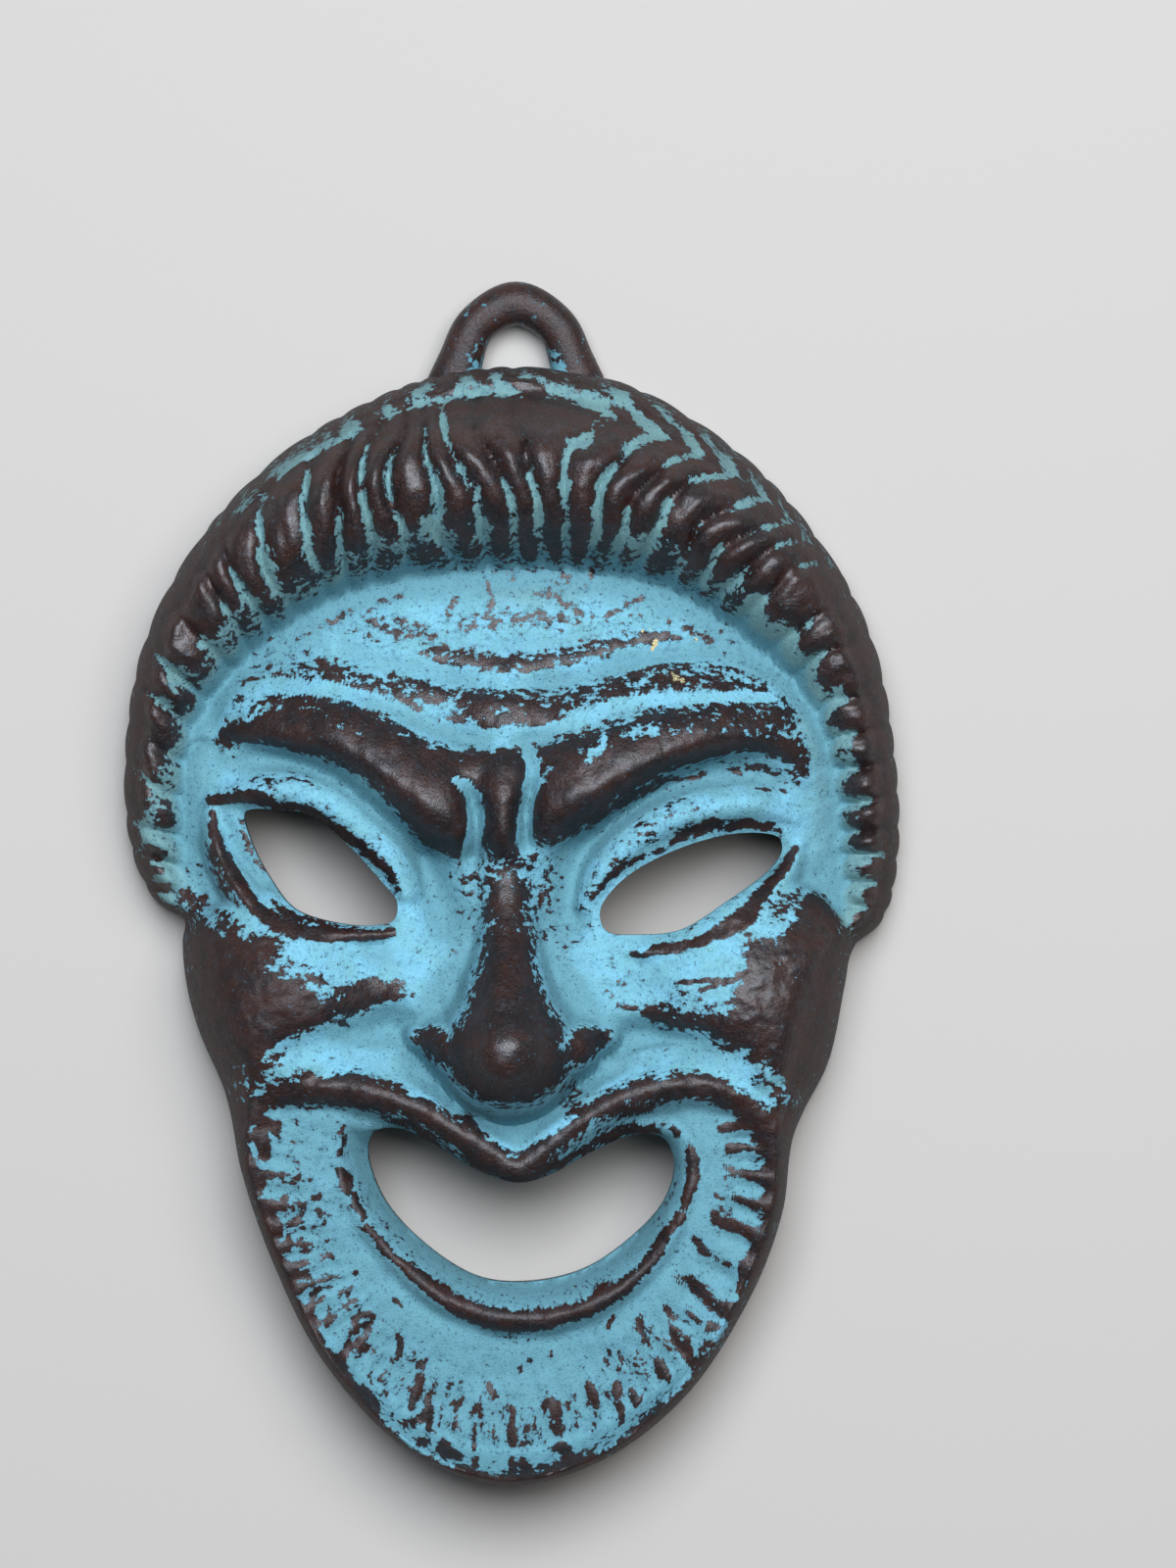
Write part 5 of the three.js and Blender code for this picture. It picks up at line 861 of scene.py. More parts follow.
def flute_phase(angle, distance):
    """Counts the beard's flutes. It is whole on their crests."""
    swung = angle + table(FLUTE_SWING, angle) * (distance - 22)
    return np.interp(swung, FLUTE_CRESTS, np.arange(len(FLUTE_CRESTS)))


def beard_height(flute_depth):
    """The fluted beard round the mouth. Inside the lips it falls away to the opening."""
    lips = smooth_line(LIP_RING)
    from_lips = -inside_by(lips, 7)
    angle, distance = seen_from(FLUTE_HUB, X, Y, -196)
    phase = flute_phase(angle, distance)
    flutes = 1 - np.abs(np.cos(math.pi * phase)) ** 0.8
    deep = flute_depth * table(FLUTE_DEPTH, angle)
    z = 11.9 + 0.12 * (Y + 60) + 1.6 * (np.abs(X) / 27) ** 2
    outside = z - deep * ease(2.5, 6, from_lips) * flutes + 0.12 * unevenness(2.4, 5)
    return np.where(from_lips < 0, np.maximum(z + 1.6 * from_lips, 10.6), outside)


class Sculpt:
    """The heights of the front over the plan, and what the patina needs to know about it."""

    def __init__(self, sizes):
        self.notch = sizes.rim_notch / MM
        self.angle, self.distance, self.reach, self.roundover = rim_toward(X, Y, self.notch)
        hair = hair_height(self.angle, self.distance, sizes.lock_depth / MM)
        z = blend_up(face_height(), hair, 0.8)
        self.in_beard = inside_by(smooth_line(BEARD_EDGE)[:-1], 9)
        sunk = z - 2.2 * np.maximum(0, self.in_beard)
        with_beard = blend_up(sunk, beard_height(sizes.flute_depth / MM), 0.8)
        with_beard = blend_up(with_beard, ridge(LIP_RING, 1.1, 2), 0.8)
        with_beard = blend_up(with_beard, ridge(BEARD_EDGE, 0.9, 2), 0.8)
        z = np.where(self.in_beard > -4, with_beard, z)
        z = blur(z, 0.16)
        for rows in HOLES:
            outside = -inside_by(smooth_line(rows, True), 3)
            z = z - 0.4 * np.exp(-((np.maximum(outside, 0) / 0.45) ** 2))
        cast = sizes.cast_unevenness / MM
        for share, size, seed in ((1.0, 5, 11), (0.44, 1.8, 12), (0.4, 0.7, 13)):
            z = z + share * cast * unevenness(size, seed)
        self.body = z
        self.full = z * self.side(self.distance, self.reach, self.roundover)

    @staticmethod
    def side(distance, reach, roundover):
        """How the side of the mask rounds over: 1 inside it, 0 at the rim."""
        inward = np.clip((reach - distance) / roundover, 0, 1)
        return np.sqrt(np.maximum(0, 1 - (1 - inward) ** 2))

    def height(self, x, y):
        _, distance, reach, roundover = rim_toward(x, y, self.notch)
        return np.maximum(0, sample(self.body, x, y)) * self.side(distance, reach, roundover)

    def inner_height(self, wall):
        """The plan of the surface one wall's thickness inside the front."""
        smooth = blur(self.full, 0.5)
        lowest = np.full(X.shape, -FAR_BELOW)
        spacing = 4
        furthest = int(wall / (spacing * STEP))
        for i in range(-furthest, furthest + 1):
            for j in range(-furthest, furthest + 1):
                away = math.hypot(i, j) * spacing * STEP
                if away <= wall:
                    moved = np.roll(smooth, (i * spacing, j * spacing), axis=(0, 1))
                    lowest = np.minimum(lowest, moved - math.sqrt(wall**2 - away**2))
        return lowest

    def wear(self):
        """How far the patina is rubbed away: brown metal above nothing, verdigris below."""
        wear = self.face_wear()
        below_roll = table(LOCK_ENDS, self.angle) - self.distance
        flecked = -0.18 - 0.3 * np.abs(below_roll - 0.8) ** 1.4 + 0.3 * unevenness(2, 32)
        under_roll = (below_roll > -2) & (self.angle > 55) & (self.angle < 165)
        wear = np.where(under_roll, np.maximum(wear, flecked), wear)
        hair, in_hair = self.hair_wear()
        face_in_hair = np.where(self.distance < INNER_HAIR, np.minimum(wear, 0.3), UNTOUCHED)
        wear = np.where(in_hair, np.maximum(hair, face_in_hair), wear)
        proud = self.full - blur(self.full, 0.8)
        shape = self.full - blur(self.full, 3.0)
        return wear + 0.2 * np.clip(proud / 0.15, -1, 1) + 0.15 * np.clip(shape / 0.8, -1, 1)

    def face_wear(self):
        """Wear on the face and the beard: first the patches, then strokes over them, then the edges."""
        wear = -1.0 + 0.18 * unevenness(6, 27)
        for rows in BROWN_PATCHES:
            inside = inside_by(smooth_line(rows, True), 2.5)
            wear = np.maximum(wear, np.clip(inside / 1.2, UNTOUCHED, 1.0))
        for rows in MOTTLED:
            wear = wear - np.maximum(stroke(rows), 0)
        for rows in RUBBED + FLECKED:
            most = 0.14 if rows[0][1] > FOREHEAD else 0.85
            wear = np.maximum(wear, np.minimum(stroke(rows), most))
        for rows in FILLED:
            wear = np.minimum(wear, 1.4 * (1 - 2.4 * np.clip(stroke(rows) + 0.5, 0, 1)))
        for rows in HOLES:
            edge = nearest(smooth_line(rows + rows[:1]), 2)[0]
            wear = np.maximum(wear, -0.25 - 1.2 * (edge / 0.7) ** 2)
        band = table(BEARD_BAND, self.angle) * (1 + 0.25 * unevenness(3, 23))
        from_rim = self.reach - self.distance
        return np.maximum(wear, np.clip((band - from_rim) / 1.1, UNTOUCHED, 1.2))

    def hair_wear(self):
        """Wear on the hair, and where it counts. The locks are rubbed out to their ends, verdigris stays in
        the cuts between them, and behind the crease it stays between combed strands or in blotches."""
        angle, distance = self.angle, self.distance
        phase = warped_lock_phase(angle, distance)
        whole = np.clip(np.rint(phase).astype(int), 0, len(LOCK_CUTS) - 1)
        from_cut = np.abs(phase - whole) * LOCK_WIDTH
        filled_to = np.array(LOCK_CUTS)[whole, 1] + 0.8 * unevenness(2.2, 22)
        ends = table(LOCK_ENDS, angle) + 0.4 + 0.5 * unevenness(3, 24) + 0.35 * unevenness(1.4, 28)
        brown = np.clip((distance - ends) / 1.3, UNTOUCHED, 0.9)

        tapering = ease(filled_to, np.minimum(ends, filled_to - 0.5), distance)
        width = 0.6 + 0.55 * tapering + 0.12 * unevenness(1.6, 25) + 0.16 * unevenness(0.8, 29)
        verdigris = np.exp(-((from_cut / np.maximum(width, 0.15)) ** 2))
        verdigris = verdigris * (1 - ease(filled_to - 2, filled_to + 0.6, distance))
        brown = brown - 1.7 * verdigris * (0.9 + 0.2 * unevenness(1.2, 30))

        behind = distance - table(CREASE, angle)
        combed = 1 - ease(88, 97, angle)
        strands = 0.8 - 1.8 * np.exp(-((from_cut / 1.25) ** 2)) + 0.3 * unevenness(1.6, 26)
        blotches = -0.12 + 0.6 * unevenness(1.1, 21) + 0.5 * unevenness(2.4, 33)
        brown = np.where(behind > 0, strands * combed + blotches * (1 - combed), brown)
        brown = brown - 0.3 * np.exp(-((behind / 0.45) ** 2)) * ease(99, 104, angle)
        near_crease = ease(-4.5, -2.0, behind) * (1 - ease(-0.2, 0.8, behind))
        on_right = ease(46, 52, angle) * (1 - ease(76, 84, angle))
        brown = brown - 1.6 * near_crease * on_right * np.exp(-((from_cut / 0.8) ** 2))
        in_hair = distance > ends - 0.5 - 2.5 * has_locks(angle)
        return brown, in_hair & (angle > FIRST_LOCK - 5) & (angle < LAST_LOCK + 3)

    def grain(self):
        """How far the torn edges run along the locks of hair and along the beard's flutes."""
        locks = ease(-5, -1, self.distance - table(LOCK_ENDS, self.angle)) * has_locks(self.angle)
        flutes = ease(-1, 1, self.in_beard)
        return locks, flutes


# Modelling


def only(piece):
    """Deselects everything, then selects that piece and makes it active."""
    bpy.ops.object.select_all(action="DESELECT")
    piece.select_set(True)
    bpy.context.view_layer.objects.active = piece


def move_points(piece, points):
    piece.data.vertices.foreach_set("co", np.ascontiguousarray(points * MM, np.float32).ravel())
    piece.data.update()


def points_of(piece):
    points = np.empty(len(piece.data.vertices) * 3, np.float32)
    piece.data.vertices.foreach_get("co", points)
    return points.reshape(-1, 3).astype(float) / MM


def face_outward(piece):
    """Turns all faces of a closed piece outward."""
    only(piece)
    bpy.ops.object.mode_set(mode="EDIT")
    bpy.ops.mesh.select_all(action="SELECT")
    bpy.ops.mesh.normals_make_consistent(inside=False)
    bpy.ops.object.mode_set(mode="OBJECT")


def close_below(piece, level):
    """Closes a sheet with one flat face. Where a level is given, its border is first drawn down to it."""
    only(piece)
    bpy.ops.object.mode_set(mode="EDIT")
    bpy.ops.mesh.select_all(action="DESELECT")
    bpy.ops.mesh.select_non_manifold(extend=False)
    if level is not None:
        bpy.ops.mesh.extrude_region_move()
        bpy.ops.transform.resize(value=(1, 1, 0), center_override=(0, 0, level * MM))
    bpy.ops.mesh.edge_face_add()
    bpy.ops.object.mode_set(mode="OBJECT")
    face_outward(piece)


def rounded_grid(name, quads):
    """A square grid, and for each of its points the direction from the middle and the share of the way out.
    The square's rings become the rings of the mask, so the sheet has no seam and no pole."""
    bpy.ops.object.select_all(action="DESELECT")
    bpy.ops.mesh.primitive_grid_add(x_subdivisions=quads, y_subdivisions=quads, size=2, location=(0, 0, 0))
    sheet = bpy.context.object
    sheet.name = sheet.data.name = name
    points = points_of(sheet) * MM
    u, v = points[:, 0], points[:, 1]
    ring = np.maximum(np.abs(u), np.abs(v))
    wide = np.abs(u) >= np.abs(v)
    safe = np.where(ring > 1e-6, ring, 1)
    across = np.where(wide, v, u) / safe * math.pi / 4
    sideways = np.where(u >= 0, across, math.pi - across)
    upright = np.where(v >= 0, math.pi / 2 - across, across - math.pi / 2)
    direction = np.where(wide, sideways, upright)
    return sheet, np.cos(direction), np.sin(direction), ring


def front_sheet(sculpt, quads, side_rings):
    """The front and the sides of the casting, closed by a flat face at the rim."""
    sheet, toward_x, toward_y, ring = rounded_grid("mask_casting", quads)
    rings = quads // 2
    flat_rings = rings - side_rings
    _, _, reach, roundover = rim_toward(HUB[0] + toward_x, HUB[1] + toward_y, sculpt.notch)
    step = ring * rings
    flat = (reach - roundover) * np.minimum(step / flat_rings, 1)
    rounded = 1 - np.sin(np.clip((step - flat_rings) / side_rings, 0, 1) * math.pi / 2)
    out = np.where(step <= flat_rings, flat, reach - roundover * rounded)
    x, y = HUB[0] + toward_x * out, HUB[1] + toward_y * out
    z = sculpt.height(x, y)
    z[ring > 1 - 0.5 / rings] = 0
    move_points(sheet, np.column_stack([x, y, z]))
    close_below(sheet, None)
    return sheet


def hollow_tool(sculpt, wall, quads):
    """What is cut out of the back. Its points lie closer together towards the rim."""
    sheet, toward_x, toward_y, ring = rounded_grid("hollow_tool", quads)
    _, _, reach, _ = rim_toward(HUB[0] + toward_x, HUB[1] + toward_y, 0)
    out = (reach - 0.8 * wall) * (0.45 * ring + 0.55 * np.sin(ring * math.pi / 2))
    x, y = HUB[0] + toward_x * out, HUB[1] + toward_y * out
    z = np.maximum(sample(sculpt.inner_height(wall), x, y), -2.5)
    move_points(sheet, np.column_stack([x, y, z]))
    close_below(sheet, BELOW_RIM)
    return sheet


def hole_tool(rows, name):
    """A straight cutter with the outline of one hole."""
    line = smooth_line(rows, True, 0.45)
    bpy.ops.object.select_all(action="DESELECT")
    bpy.ops.mesh.primitive_circle_add(vertices=len(line), radius=1, fill_type="NOTHING", location=(0, 0, 0))
    cutter = bpy.context.object
    cutter.name = cutter.data.name = name
    turning = line[:, 0] * np.roll(line[:, 1], -1) - np.roll(line[:, 0], -1) * line[:, 1]
    if turning.sum() < 0:
        line = line[::-1]
    move_points(cutter, np.column_stack([line[:, :2], np.full(len(line), BELOW_RIM)]))
    only(cutter)
    bpy.ops.object.mode_set(mode="EDIT")
    bpy.ops.mesh.select_all(action="SELECT")
    bpy.ops.mesh.edge_face_add()
    bpy.ops.mesh.extrude_region_move(TRANSFORM_OT_translate={"value": (0, 0, 50 * MM)})
    bpy.ops.object.mode_set(mode="OBJECT")
    face_outward(cutter)
    return cutter


def ring_piece():
    """A bar with a rounded section, spun into an arch. It is then drawn onto its line."""
    line = smooth_line(RING_LINE)
    arch = 5
    bpy.ops.object.select_all(action="DESELECT")
    bpy.ops.mesh.primitive_circle_add(
        vertices=28, radius=MM, fill_type="NGON", location=(arch * MM, 0, 0), rotation=(math.pi / 2, 0, 0)
    )
    ring = bpy.context.object
    ring.name = ring.data.name = "hanging_ring"
    bpy.ops.object.transform_apply(location=True, rotation=True, scale=True)
    bpy.ops.object.mode_set(mode="EDIT")
    bpy.ops.mesh.select_all(action="SELECT")
    bpy.ops.mesh.spin(steps=len(line) - 1, angle=math.pi, center=(0, 0, 0), axis=(0, 0, 1))
    bpy.ops.mesh.select_all(action="SELECT")
    bpy.ops.mesh.remove_doubles(threshold=1e-6)
    bpy.ops.object.mode_set(mode="OBJECT")
    points = points_of(ring)
    angle = np.arctan2(np.abs(points[:, 1]), points[:, 0])
    station = angle / math.pi * (len(line) - 1)
    across = np.hypot(points[:, 0], points[:, 1]) - arch
    upward = points[:, 2]
    backwards = line[::-1]
    tangent = np.gradient(backwards[:, :2], axis=0)
    tangent /= np.linalg.norm(tangent, axis=1)[:, None]
    place = [np.interp(station, np.arange(len(line)), backwards[:, k]) for k in range(3)]
    tangent_x, tangent_y = (np.interp(station, np.arange(len(line)), tangent[:, k]) for k in range(2))
    # A squarer section than a circle, so the bar is a little flat on its back and sides.
    squareness = 2.6
    size = (np.abs(across) ** squareness + np.abs(upward) ** squareness) ** (1 / squareness)
    across, upward = across / size, upward / size
    x = RING_MIDDLE + place[0] + across * place[2] / 2 * tangent_y
    y = place[1] - across * place[2] / 2 * tangent_x
    z = RING_BACK + RING_DEPTH / 2 * (1 + upward)
    move_points(ring, np.column_stack([x, y, z]))
    face_outward(ring)
    return ring


def join_or_cut(piece, tool, operation):
    """Joins a tool to the piece or cuts it out, and deletes the tool."""
    only(piece)
    change = piece.modifiers.new(operation.lower(), "BOOLEAN")
    change.operation = operation
    change.solver = "MANIFOLD"
    change.object = tool
    faces = len(piece.data.polygons)
    bpy.ops.object.modifier_apply(modifier=change.name)
    if len(piece.data.polygons) == faces:
        raise RuntimeError("the " + tool.name + " changed nothing")
    bpy.data.objects.remove(tool, do_unlink=True)


def add_attribute(piece, name, values):
    layer = piece.data.attributes.new(name, "FLOAT", "POINT")
    layer.data.foreach_set("value", np.ascontiguousarray(values, np.float32))


def store_patina(piece, sculpt):
    """Writes onto the casting's points what the patina follows: how far it is rubbed, which way the torn
    edges run, where the verdigris gets painted shade in the hollows and over the beard, how polished the
    spot is, and where the nicks are."""
    x, y, z = points_of(piece).T
    _, distance, reach, _ = rim_toward(x, y, sculpt.notch)
    top = sculpt.height(x, y)
    front = 1 - ease(0.35, 0.9, top - z)
    locks, flutes = sculpt.grain()
    slope_y, slope_x = np.gradient(blur(sculpt.full, 0.5), STEP)
    upward = sample(1 / np.sqrt(1 + slope_x**2 + slope_y**2), x, y)
    steep = (1 - ease(0.1, 0.4, upward)) * 0.9
    on_front = sample(sculpt.wear(), x, y) * (1 - steep) + ON_SIDES * steep
    behind = 0.35 + 0.45 * sample(unevenness(6, 31), x, y)
    wear = on_front * front + behind * (1 - front)
    from_middle = np.abs(x - RING_MIDDLE)
    on_ring = (y > 50) & (distance > reach - 0.3) & (from_middle < 9.5)
    inside_legs = 1 - ease(51.0, 57.5, y + 2.8 * np.maximum(0, from_middle - 4.4))
    wear = np.where(on_ring, 0.6 - inside_legs, wear)
    add_attribute(piece, "wear", np.clip(wear, -1.5, 1.5))
    add_attribute(piece, "along_locks", sample(locks, x, y))
    # The beard's mask steers the torn edges along the flutes and also lays painted shade over the beard's
    # verdigris.
    add_attribute(piece, "along_flutes", sample(flutes, x, y))
    # Painted shade: how far each spot lies below the blurred front, so that the hollows get a darker
    # verdigris.
    shelter = np.clip((blur(sculpt.full, 2.5) - sculpt.full) / 1.2, -1, 1)
    add_attribute(piece, "shelter", sample(shelter, x, y))
    handling = 1 + sample(0.3 * locks - 0.35 * flutes, x, y)
    for spot_x, spot_y, half, share in HANDLED:
        handling = handling + share * np.exp(-((x - spot_x) ** 2 + (y - spot_y) ** 2) / half**2)
    add_attribute(piece, "polish", np.where(on_ring, 0.5, ease(0.3, 0.85, upward) * front * handling))
    nick = np.zeros(len(x))
    for nick_x, nick_y, half in NICKS:
        nick = np.maximum(nick, 1 - np.hypot(x - nick_x, y - nick_y) / (1.6 * half))
    add_attribute(piece, "nicks", nick * front)


# Materials


def linear(hex_colour):
    """An sRGB hex colour as linear red, green, blue and alpha."""
    parts = [int(hex_colour[i : i + 2], 16) / 255 for i in (1, 3, 5)]
    return tuple(c / 12.92 if c <= 0.04045 else ((c + 0.055) / 1.055) ** 2.4 for c in parts) + (1.0,)


def add(tree, kind, links=None, **settings):
    """Adds a node. Settings that start with in_ set its inputs, the others its own properties. Links give,
    for an input's name or number, the node and the output that feed it."""
    node = tree.nodes.new(kind)
    for name, value in settings.items():
        if not name.startswith("in_"):
            setattr(node, name, value)
    for name, value in settings.items():
        if name.startswith("in_"):
            key = name[3:]
            node.inputs[int(key) if key.isdigit() else key.replace("_", " ")].default_value = value
    for key, (source, output) in (links or {}).items():
        tree.links.new(source.outputs[output], node.inputs[key])
    return node


def new_material(name):
    """A material and its node tree, emptied."""
    material = bpy.data.materials.new(name)
    material.use_nodes = True
    material.node_tree.nodes.clear()
    return material, material.node_tree


def patinated_bronze(colours):
    """Tin bronze, cast, pickled brown, then brushed with a blue-green verdigris paste and rubbed back. The
    metal shows satin brown with soft highlights, the verdigris is matt and chalky with torn edges. Painted
    shade darkens the verdigris in the hollows and over the beard."""
    material, tree = new_material("patinated_bronze")

    def attribute(name):
        return add(tree, "ShaderNodeAttribute", attribute_name=name), "Fac"

    def maths(operation, *values, **settings):
        links = {i: v for i, v in enumerate(values) if isinstance(v, tuple)}
        plain = {"in_" + str(i): v for i, v in enumerate(values) if not isinstance(v, tuple)}
        return add(tree, "ShaderNodeMath", links, operation=operation, **plain, **settings), 0

    def mix(share, a, b):
        node = add(tree, "ShaderNodeMix", {0: share}, data_type="RGBA", clamp_factor=True)
        for key, value in ((6, a), (7, b)):
            if isinstance(value[0], float):
                node.inputs[key].default_value = value
            else:
                tree.links.new(value[0].outputs[value[1]], node.inputs[key])
        return node, 2

    def ramp(value, low, high):
        limits = {"in_1": float(low), "in_2": float(high)}
        return add(tree, "ShaderNodeMapRange", {0: value}, interpolation_type="SMOOTHSTEP", **limits), 0

    def noise(vector, scale, detail=3.0, roughness=0.6, w=None):
        links = {"Vector": vector, "W": w} if w else {"Vector": vector}
        node = add(tree, "ShaderNodeTexNoise", links, noise_dimensions="4D" if w else "3D")
        node.inputs["Scale"].default_value = scale
        node.inputs["Detail"].default_value = detail
        node.inputs["Roughness"].default_value = roughness
        return node, 0

    place = add(tree, "ShaderNodeTexCoord"), "Object"
    # Millimetres, so that a noise scale of 1 has features about a millimetre across.
    plan = add(tree, "ShaderNodeMapping", {0: place}, in_Scale=(1000, 1000, 1000)), 0

    def vector_maths(operation, a, b=None, **settings):
        node = add(tree, "ShaderNodeVectorMath", {0: a}, operation=operation, **settings)
        if b:
            node.inputs[1].default_value = b
        return node

    def streaks(hub, radius, stretch, scale):
        """Noise that is drawn out away from the hub, by direction round it and distance from it."""
        moved = vector_maths("SUBTRACT", plan, (hub[0], hub[1], 0))
        flat = vector_maths("MULTIPLY", (moved, 0), (1, 1, 0))
        far = vector_maths("LENGTH", (flat, 0)), "Value"
        toward = vector_maths("NORMALIZE", (flat, 0))
        ring = vector_maths("SCALE", (toward, 0), in_3=float(radius))
        on_ring = add(tree, "ShaderNodeSeparateXYZ", {0: (ring, 0)})
        height = add(tree, "ShaderNodeSeparateXYZ", {0: plan}), 2
        links = {0: (on_ring, 0), 1: (on_ring, 1), 2: maths("MULTIPLY", far, 1 / stretch)}
        vector = add(tree, "ShaderNodeCombineXYZ", links), 0
        return noise(vector, scale, 3.0, 0.6, maths("MULTIPLY", height, scale / 1.6))

    # Where the metal is bare. The stored wear sets where, and the noise tears its edge.
    across_face = add(tree, "ShaderNodeMapping", {0: plan}, in_Scale=(0.7, 1, 0.85)), 0
    face_noise = noise(across_face, 1.3)
    hair_noise = streaks(HUB, 42, 1.4, 1.4)
    beard_noise = streaks(FLUTE_HUB, 22, 2.0, 1.3)
    locks, flutes = attribute("along_locks"), attribute("along_flutes")
    torn = add(tree, "ShaderNodeMix", {0: locks, 2: face_noise, 3: hair_noise}), 0
    torn = add(tree, "ShaderNodeMix", {0: flutes, 2: torn, 3: beard_noise}), 0
    specks = noise(plan, 1.9, 2.0)
    torn_wear = maths("MULTIPLY_ADD", torn, 3.4, maths("ADD", attribute("wear"), -1.7))
    torn_wear = maths("MULTIPLY_ADD", specks, 1.6, maths("ADD", torn_wear, -0.8))
    bare = ramp(torn_wear, -0.07, 0.07)
    fading = ramp(torn_wear, -0.55, 0.1)

    # Colour
    mottle = noise(plan, 0.35, 4.0)
    grain = noise(plan, 5.0, 2.0)
    thin_clouds = ramp(noise(plan, 1.2, 4.0, 0.75), 0.5, 0.7)
    film_clouds = ramp(noise(plan, 0.8, 4.0, 0.75), 0.46, 0.66)
    dots = noise(plan, 2.4)

    def layers(base, *coats):
        """A colour with others laid over it: how far each covers, where, and its name."""
        for strength, where, name in coats:
            base = mix(maths("MULTIPLY", where, strength), base, colours[name])
        return base

    verdigris = layers(
        mix(ramp(mottle, 0.35, 0.65), colours["light"], colours["green"]),
        # Painted shade: a darker verdigris over the whole beard.
        (0.8, flutes, "sheltered"),
        # A greener, greyer verdigris over the hair, fading out a few millimetres below the ends of its
        # locks.
        (0.9, locks, "old"),
        # Painted shade: a darker verdigris in the hollows.
        (1.0, ramp(attribute("shelter"), -0.1, 0.9), "sheltered"),
        (0.55, fading, "thin"),
        (0.35, ramp(grain, 0.5, 0.66), "thin"),
        (0.5, thin_clouds, "thin"),
        (0.6, ramp(dots, 0.64, 0.67), "dark"),
    )
    metal = layers(
        mix(ramp(mottle, 0.38, 0.62), colours["dark"], colours["brown"]),
        (0.4, ramp(grain, 0.5, 0.75), "red"),
        (0.18, film_clouds, "film"),
        (0.4, ramp(dots, 0.36, 0.32), "thin"),
    )
    nick = ramp(maths("ADD", attribute("nicks"), noise(across_face, 1.6, 3.0, 0.7)), 0.98, 1.06)
    colour = mix(nick, mix(bare, verdigris, metal), colours["gold"])

    # Relief, finer than the mesh: a grainy crust of verdigris, and pits in the metal.
    crust = maths("MULTIPLY", maths("SUBTRACT", 1.0, bare), maths("MULTIPLY_ADD", grain, 1.1, 0.4))
    pits = maths("MULTIPLY", maths("MULTIPLY", bare, noise(plan, 2.2, 4.0, 0.75)), 2.3)
    relief = maths("ADD", crust, pits)
    bump = add(tree, "ShaderNodeBump", {"Height": relief}, in_Strength=0.9, in_Distance=RELIEF)
    faint_bump = add(tree, "ShaderNodeBump", {"Height": relief}, in_Strength=0.3, in_Distance=RELIEF)

    # Shine. Wax coats the brown metal where it is handled, but not its sides or the chalky verdigris.
    polish = attribute("polish")
    handled = maths("MULTIPLY", bare, polish)
    dull = maths("MULTIPLY_ADD", polish, -0.22, 0.56)
    metal_roughness = maths("MULTIPLY_ADD", noise(plan, 1.1), 0.2, dull)
    links = {
        "Base Color": colour,
        "Roughness": (add(tree, "ShaderNodeMix", {0: bare, 3: metal_roughness}, in_2=0.85), 0),
        "Metallic": maths("MAXIMUM", maths("MULTIPLY", handled, 0.16), nick),
        "Normal": (bump, 0),
        "Coat Weight": maths("MULTIPLY", handled, 0.65),
        "Coat Normal": (faint_bump, 0),
    }
    plain = {"in_Coat_Roughness": 0.3, "in_Specular_IOR_Level": 0.42, "in_Specular_Tint": (1, 0.84, 0.8, 1)}
    shader = add(tree, "ShaderNodeBsdfPrincipled", links, **plain)
    add(tree, "ShaderNodeOutputMaterial", {"Surface": (shader, 0)})
    return material


def painted_floor(colour):
    """A board with matt white paint: nearly plain, with the faintest orange peel."""
    material, tree = new_material("painted_floor")
    place = add(tree, "ShaderNodeTexCoord"), "Object"
    peel = add(tree, "ShaderNodeTexNoise", {"Vector": place}, in_Scale=600.0, in_Detail=2.0)
    bump = add(tree, "ShaderNodeBump", {"Height": (peel, 0)}, in_Strength=0.05, in_Distance=0.2 * MM)
    links = {"Normal": (bump, 0)}
    shader = add(tree, "ShaderNodeBsdfPrincipled", links, in_Base_Color=colour, in_Roughness=0.8)
    add(tree, "ShaderNodeOutputMaterial", {"Surface": (shader, 0)})
    return material


# Settings that a user would change


def length(name, description, millimetres):
    return FloatProperty(name=name, description=description, default=millimetres * MM, unit="LENGTH", min=0)


def colour(name, description, hex_colour):
    limits = {"subtype": "COLOR", "size": 3, "min": 0, "max": 1}
    return FloatVectorProperty(name=name, description=description, default=linear(hex_colour)[:3], **limits)


def power(name, description, watts):
    return FloatProperty(name=name, description=description, default=watts, unit="POWER", min=0)


def whole_number(name, description, number, lowest):
    return IntProperty(name=name, description=description, default=number, min=lowest)


class MaskSizes(bpy.types.PropertyGroup):
    wall: length("Wall", "Thickness of the cast shell", 3.0)
    lock_depth: length("Lock depth", "Depth of the cuts between the locks of hair", 1.7)
    flute_depth: length("Flute depth", "Depth of the beard's flutes", 0.6)
    rim_notch: length("Rim notch", "How far the cuts between the locks notch the outline", 0.3)
    cast_unevenness: length("Unevenness", "How far the hand-finished surface strays from an even one", 0.11)
    front_quads: whole_number("Front quads", "Quads across the front", 280, 40)
    side_rings: whole_number("Side rings", "Rings of quads on the rounded side", 16, 3)
    back_quads: whole_number("Back quads", "Quads across the hollow", 90, 20)


class PatinaColours(bpy.types.PropertyGroup):
    light: colour("Light verdigris", "Chalky verdigris where the paste is thick", "#7AB9CE")
    old: colour("Hair verdigris", "Greener, greyer verdigris in the hair", "#6F928F")
    green: colour("Green verdigris", "Verdigris where it has turned greener", "#74AFB9")
    # Painted shade: a darker verdigris laid into the hollows and over the beard, where shade falls.
    sheltered: colour("Verdigris with painted shade", "Darker verdigris in the hollows and the beard", "#61949F")
    thin: colour("Thin verdigris", "Verdigris where the metal shows through", "#406C7C")
    brown: colour("Brown patina", "Rubbed brown metal", "#2C140D")
    dark: colour("Dark patina", "Darker brown metal", "#130B0A")
    film: colour("Film", "The blue-grey film that is left on the brown metal", "#39424D")
    red: colour("Red patina", "Reddish brown where the rubbing went deeper", "#52281A")
    gold: colour("Bare bronze", "Clean metal in the nicks", "#EAD7A6")


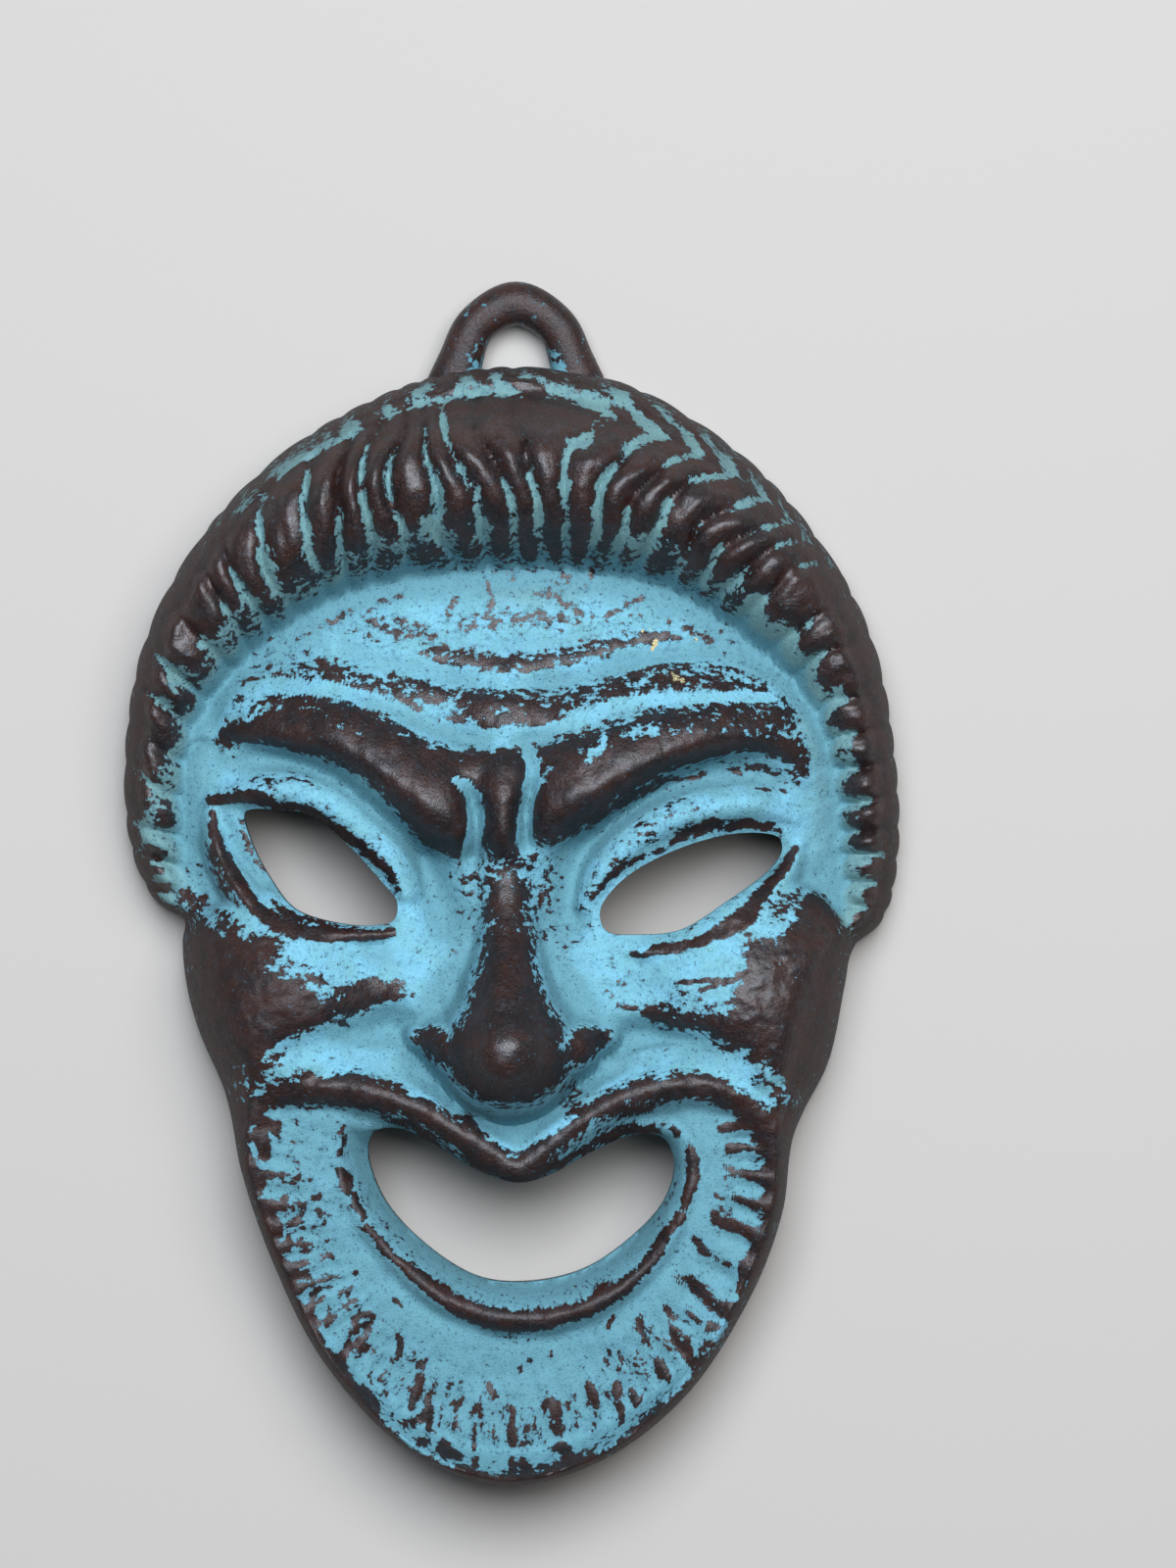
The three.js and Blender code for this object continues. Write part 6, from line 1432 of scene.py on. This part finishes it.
class StageSettings(bpy.types.PropertyGroup):
    camera_distance: length("Camera distance", "From the camera to the middle of the mask's depth", 800)
    picture_height: length("Picture height", "How much of the floor the picture shows, top to bottom", 160)
    key_power: power("Key light", "Power of the light from past the top of the picture", 4.0)
    overhead_power: power("Overhead light", "Power of the sheet of light above", 6.5)
    sky_strength: FloatProperty(name="Sky", description="Strength of the even light", default=0.11, min=0)
    floor: colour("Floor", "Colour of the floor", "#BAB3AB")


# Operators

PICTURE_MIDDLE = (7.8 * MM, 10.05 * MM)  # the spot of the floor in the middle of the picture
HALF_DEPTH = 9 * MM  # the camera's distance is measured from this height
SENSOR = 24  # height of the camera's sensor in millimetres
LIT_SPOT = Vector((0, 0, 10 * MM))


def area_light(name, spot, size, watts, colour):
    """A rectangle of light at that spot, turned towards the mask."""
    bpy.ops.object.light_add(type="AREA", location=spot)
    light = bpy.context.object
    light.name = name
    light.data.shape = "RECTANGLE"
    light.data.size, light.data.size_y = size
    light.data.energy = watts
    light.data.color = colour
    light.rotation_euler = (LIT_SPOT - Vector(spot)).to_track_quat("-Z", "Y").to_euler()


class MASK_OT_casting(bpy.types.Operator):
    """Model the hollow bronze casting with its ring, eyes and mouth, and give it its patina"""

    bl_idname = "mask.casting"
    bl_label = "Cast the mask"

    def execute(self, context):
        sizes, colours = context.scene.mask_sizes, context.scene.patina_colours
        sculpt = Sculpt(sizes)
        casting = front_sheet(sculpt, sizes.front_quads, sizes.side_rings)
        join_or_cut(casting, ring_piece(), "UNION")
        join_or_cut(casting, hollow_tool(sculpt, sizes.wall / MM, sizes.back_quads), "DIFFERENCE")
        for name, rows in zip(("left_eye_cutter", "right_eye_cutter", "mouth_cutter"), HOLES):
            join_or_cut(casting, hole_tool(rows, name), "DIFFERENCE")
        store_patina(casting, sculpt)
        only(casting)
        bpy.ops.object.shade_smooth_by_angle(angle=math.radians(55))
        chosen = {name: tuple(getattr(colours, name)) + (1.0,) for name in PatinaColours.__annotations__}
        casting.data.materials.clear()
        casting.data.materials.append(patinated_bronze(chosen))
        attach(casting, "root")
        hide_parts("mask")
        return {"FINISHED"}


class MASK_OT_stage(bpy.types.Operator):
    """Lay the floor, hang the lights and set up the camera straight above the mask"""

    bl_idname = "mask.stage"
    bl_label = "Set the stage"

    def execute(self, context):
        stage = context.scene.mask_stage
        bpy.ops.object.select_all(action="DESELECT")
        bpy.ops.mesh.primitive_plane_add(size=3, location=(0, 0, 0))
        floor = context.object
        floor.name = floor.data.name = "floor"
        floor.data.materials.append(painted_floor(tuple(stage.floor) + (1.0,)))

        # A soft light from past the top of the picture, a little to the right, as from a window, and a
        # bluer sheet of skylight above it, which gives the metal its soft highlights.
        pale, blue = (0.93, 0.96, 1.0), (0.72, 0.84, 1.0)
        area_light("window_light", (0.07, 0.18, 0.6), (0.45, 0.35), stage.key_power, pale)
        area_light("overhead_light", (-0.04, 0.27, 0.9), (0.5, 0.4), stage.overhead_power, blue)

        world = bpy.data.worlds.new("pale_sky")
        world.use_nodes = True
        background = world.node_tree.nodes["Background"]
        background.inputs["Color"].default_value = (0.80, 0.88, 1.0, 1.0)
        background.inputs["Strength"].default_value = stage.sky_strength
        context.scene.world = world
        context.scene.view_settings.view_transform = "Standard"

        # The lens shows the picture's height at the camera's distance.
        spot = (*PICTURE_MIDDLE, stage.camera_distance + HALF_DEPTH)
        bpy.ops.object.camera_add(location=spot, rotation=(0, 0, 0))
        camera = context.object
        camera.data.sensor_fit = "VERTICAL"
        camera.data.sensor_height = SENSOR
        camera.data.lens = SENSOR * stage.camera_distance / stage.picture_height
        camera.data.clip_start = 0.01
        context.scene.camera = camera
        return {"FINISHED"}


class MASK_PT_sidebar(bpy.types.Panel):
    """Lists the operators and the settings in the 3D view's sidebar"""

    bl_idname = "MASK_PT_sidebar"
    bl_label = "Bronze mask"
    bl_space_type = "VIEW_3D"
    bl_region_type = "UI"
    bl_category = "Mask"

    def draw(self, context):
        for group in ("mask_sizes", "patina_colours", "mask_stage"):
            settings = getattr(context.scene, group)
            box = self.layout.box()
            for name in settings.__annotations__:
                box.prop(settings, name)
        for operator in (MASK_OT_casting, MASK_OT_stage):
            self.layout.operator(operator.bl_idname)


CLASSES = (MaskSizes, PatinaColours, StageSettings, MASK_OT_casting, MASK_OT_stage, MASK_PT_sidebar)


def register():
    for kind in CLASSES:
        bpy.utils.register_class(kind)
    bpy.types.Scene.mask_sizes = PointerProperty(type=MaskSizes)
    bpy.types.Scene.patina_colours = PointerProperty(type=PatinaColours)
    bpy.types.Scene.mask_stage = PointerProperty(type=StageSettings)


def unregister():
    del bpy.types.Scene.mask_sizes, bpy.types.Scene.patina_colours, bpy.types.Scene.mask_stage
    for kind in reversed(CLASSES):
        bpy.utils.unregister_class(kind)


def main():
    register()
    bpy.ops.mask.casting()
    bpy.ops.mask.stage()


if __name__ == "__main__":
    main()
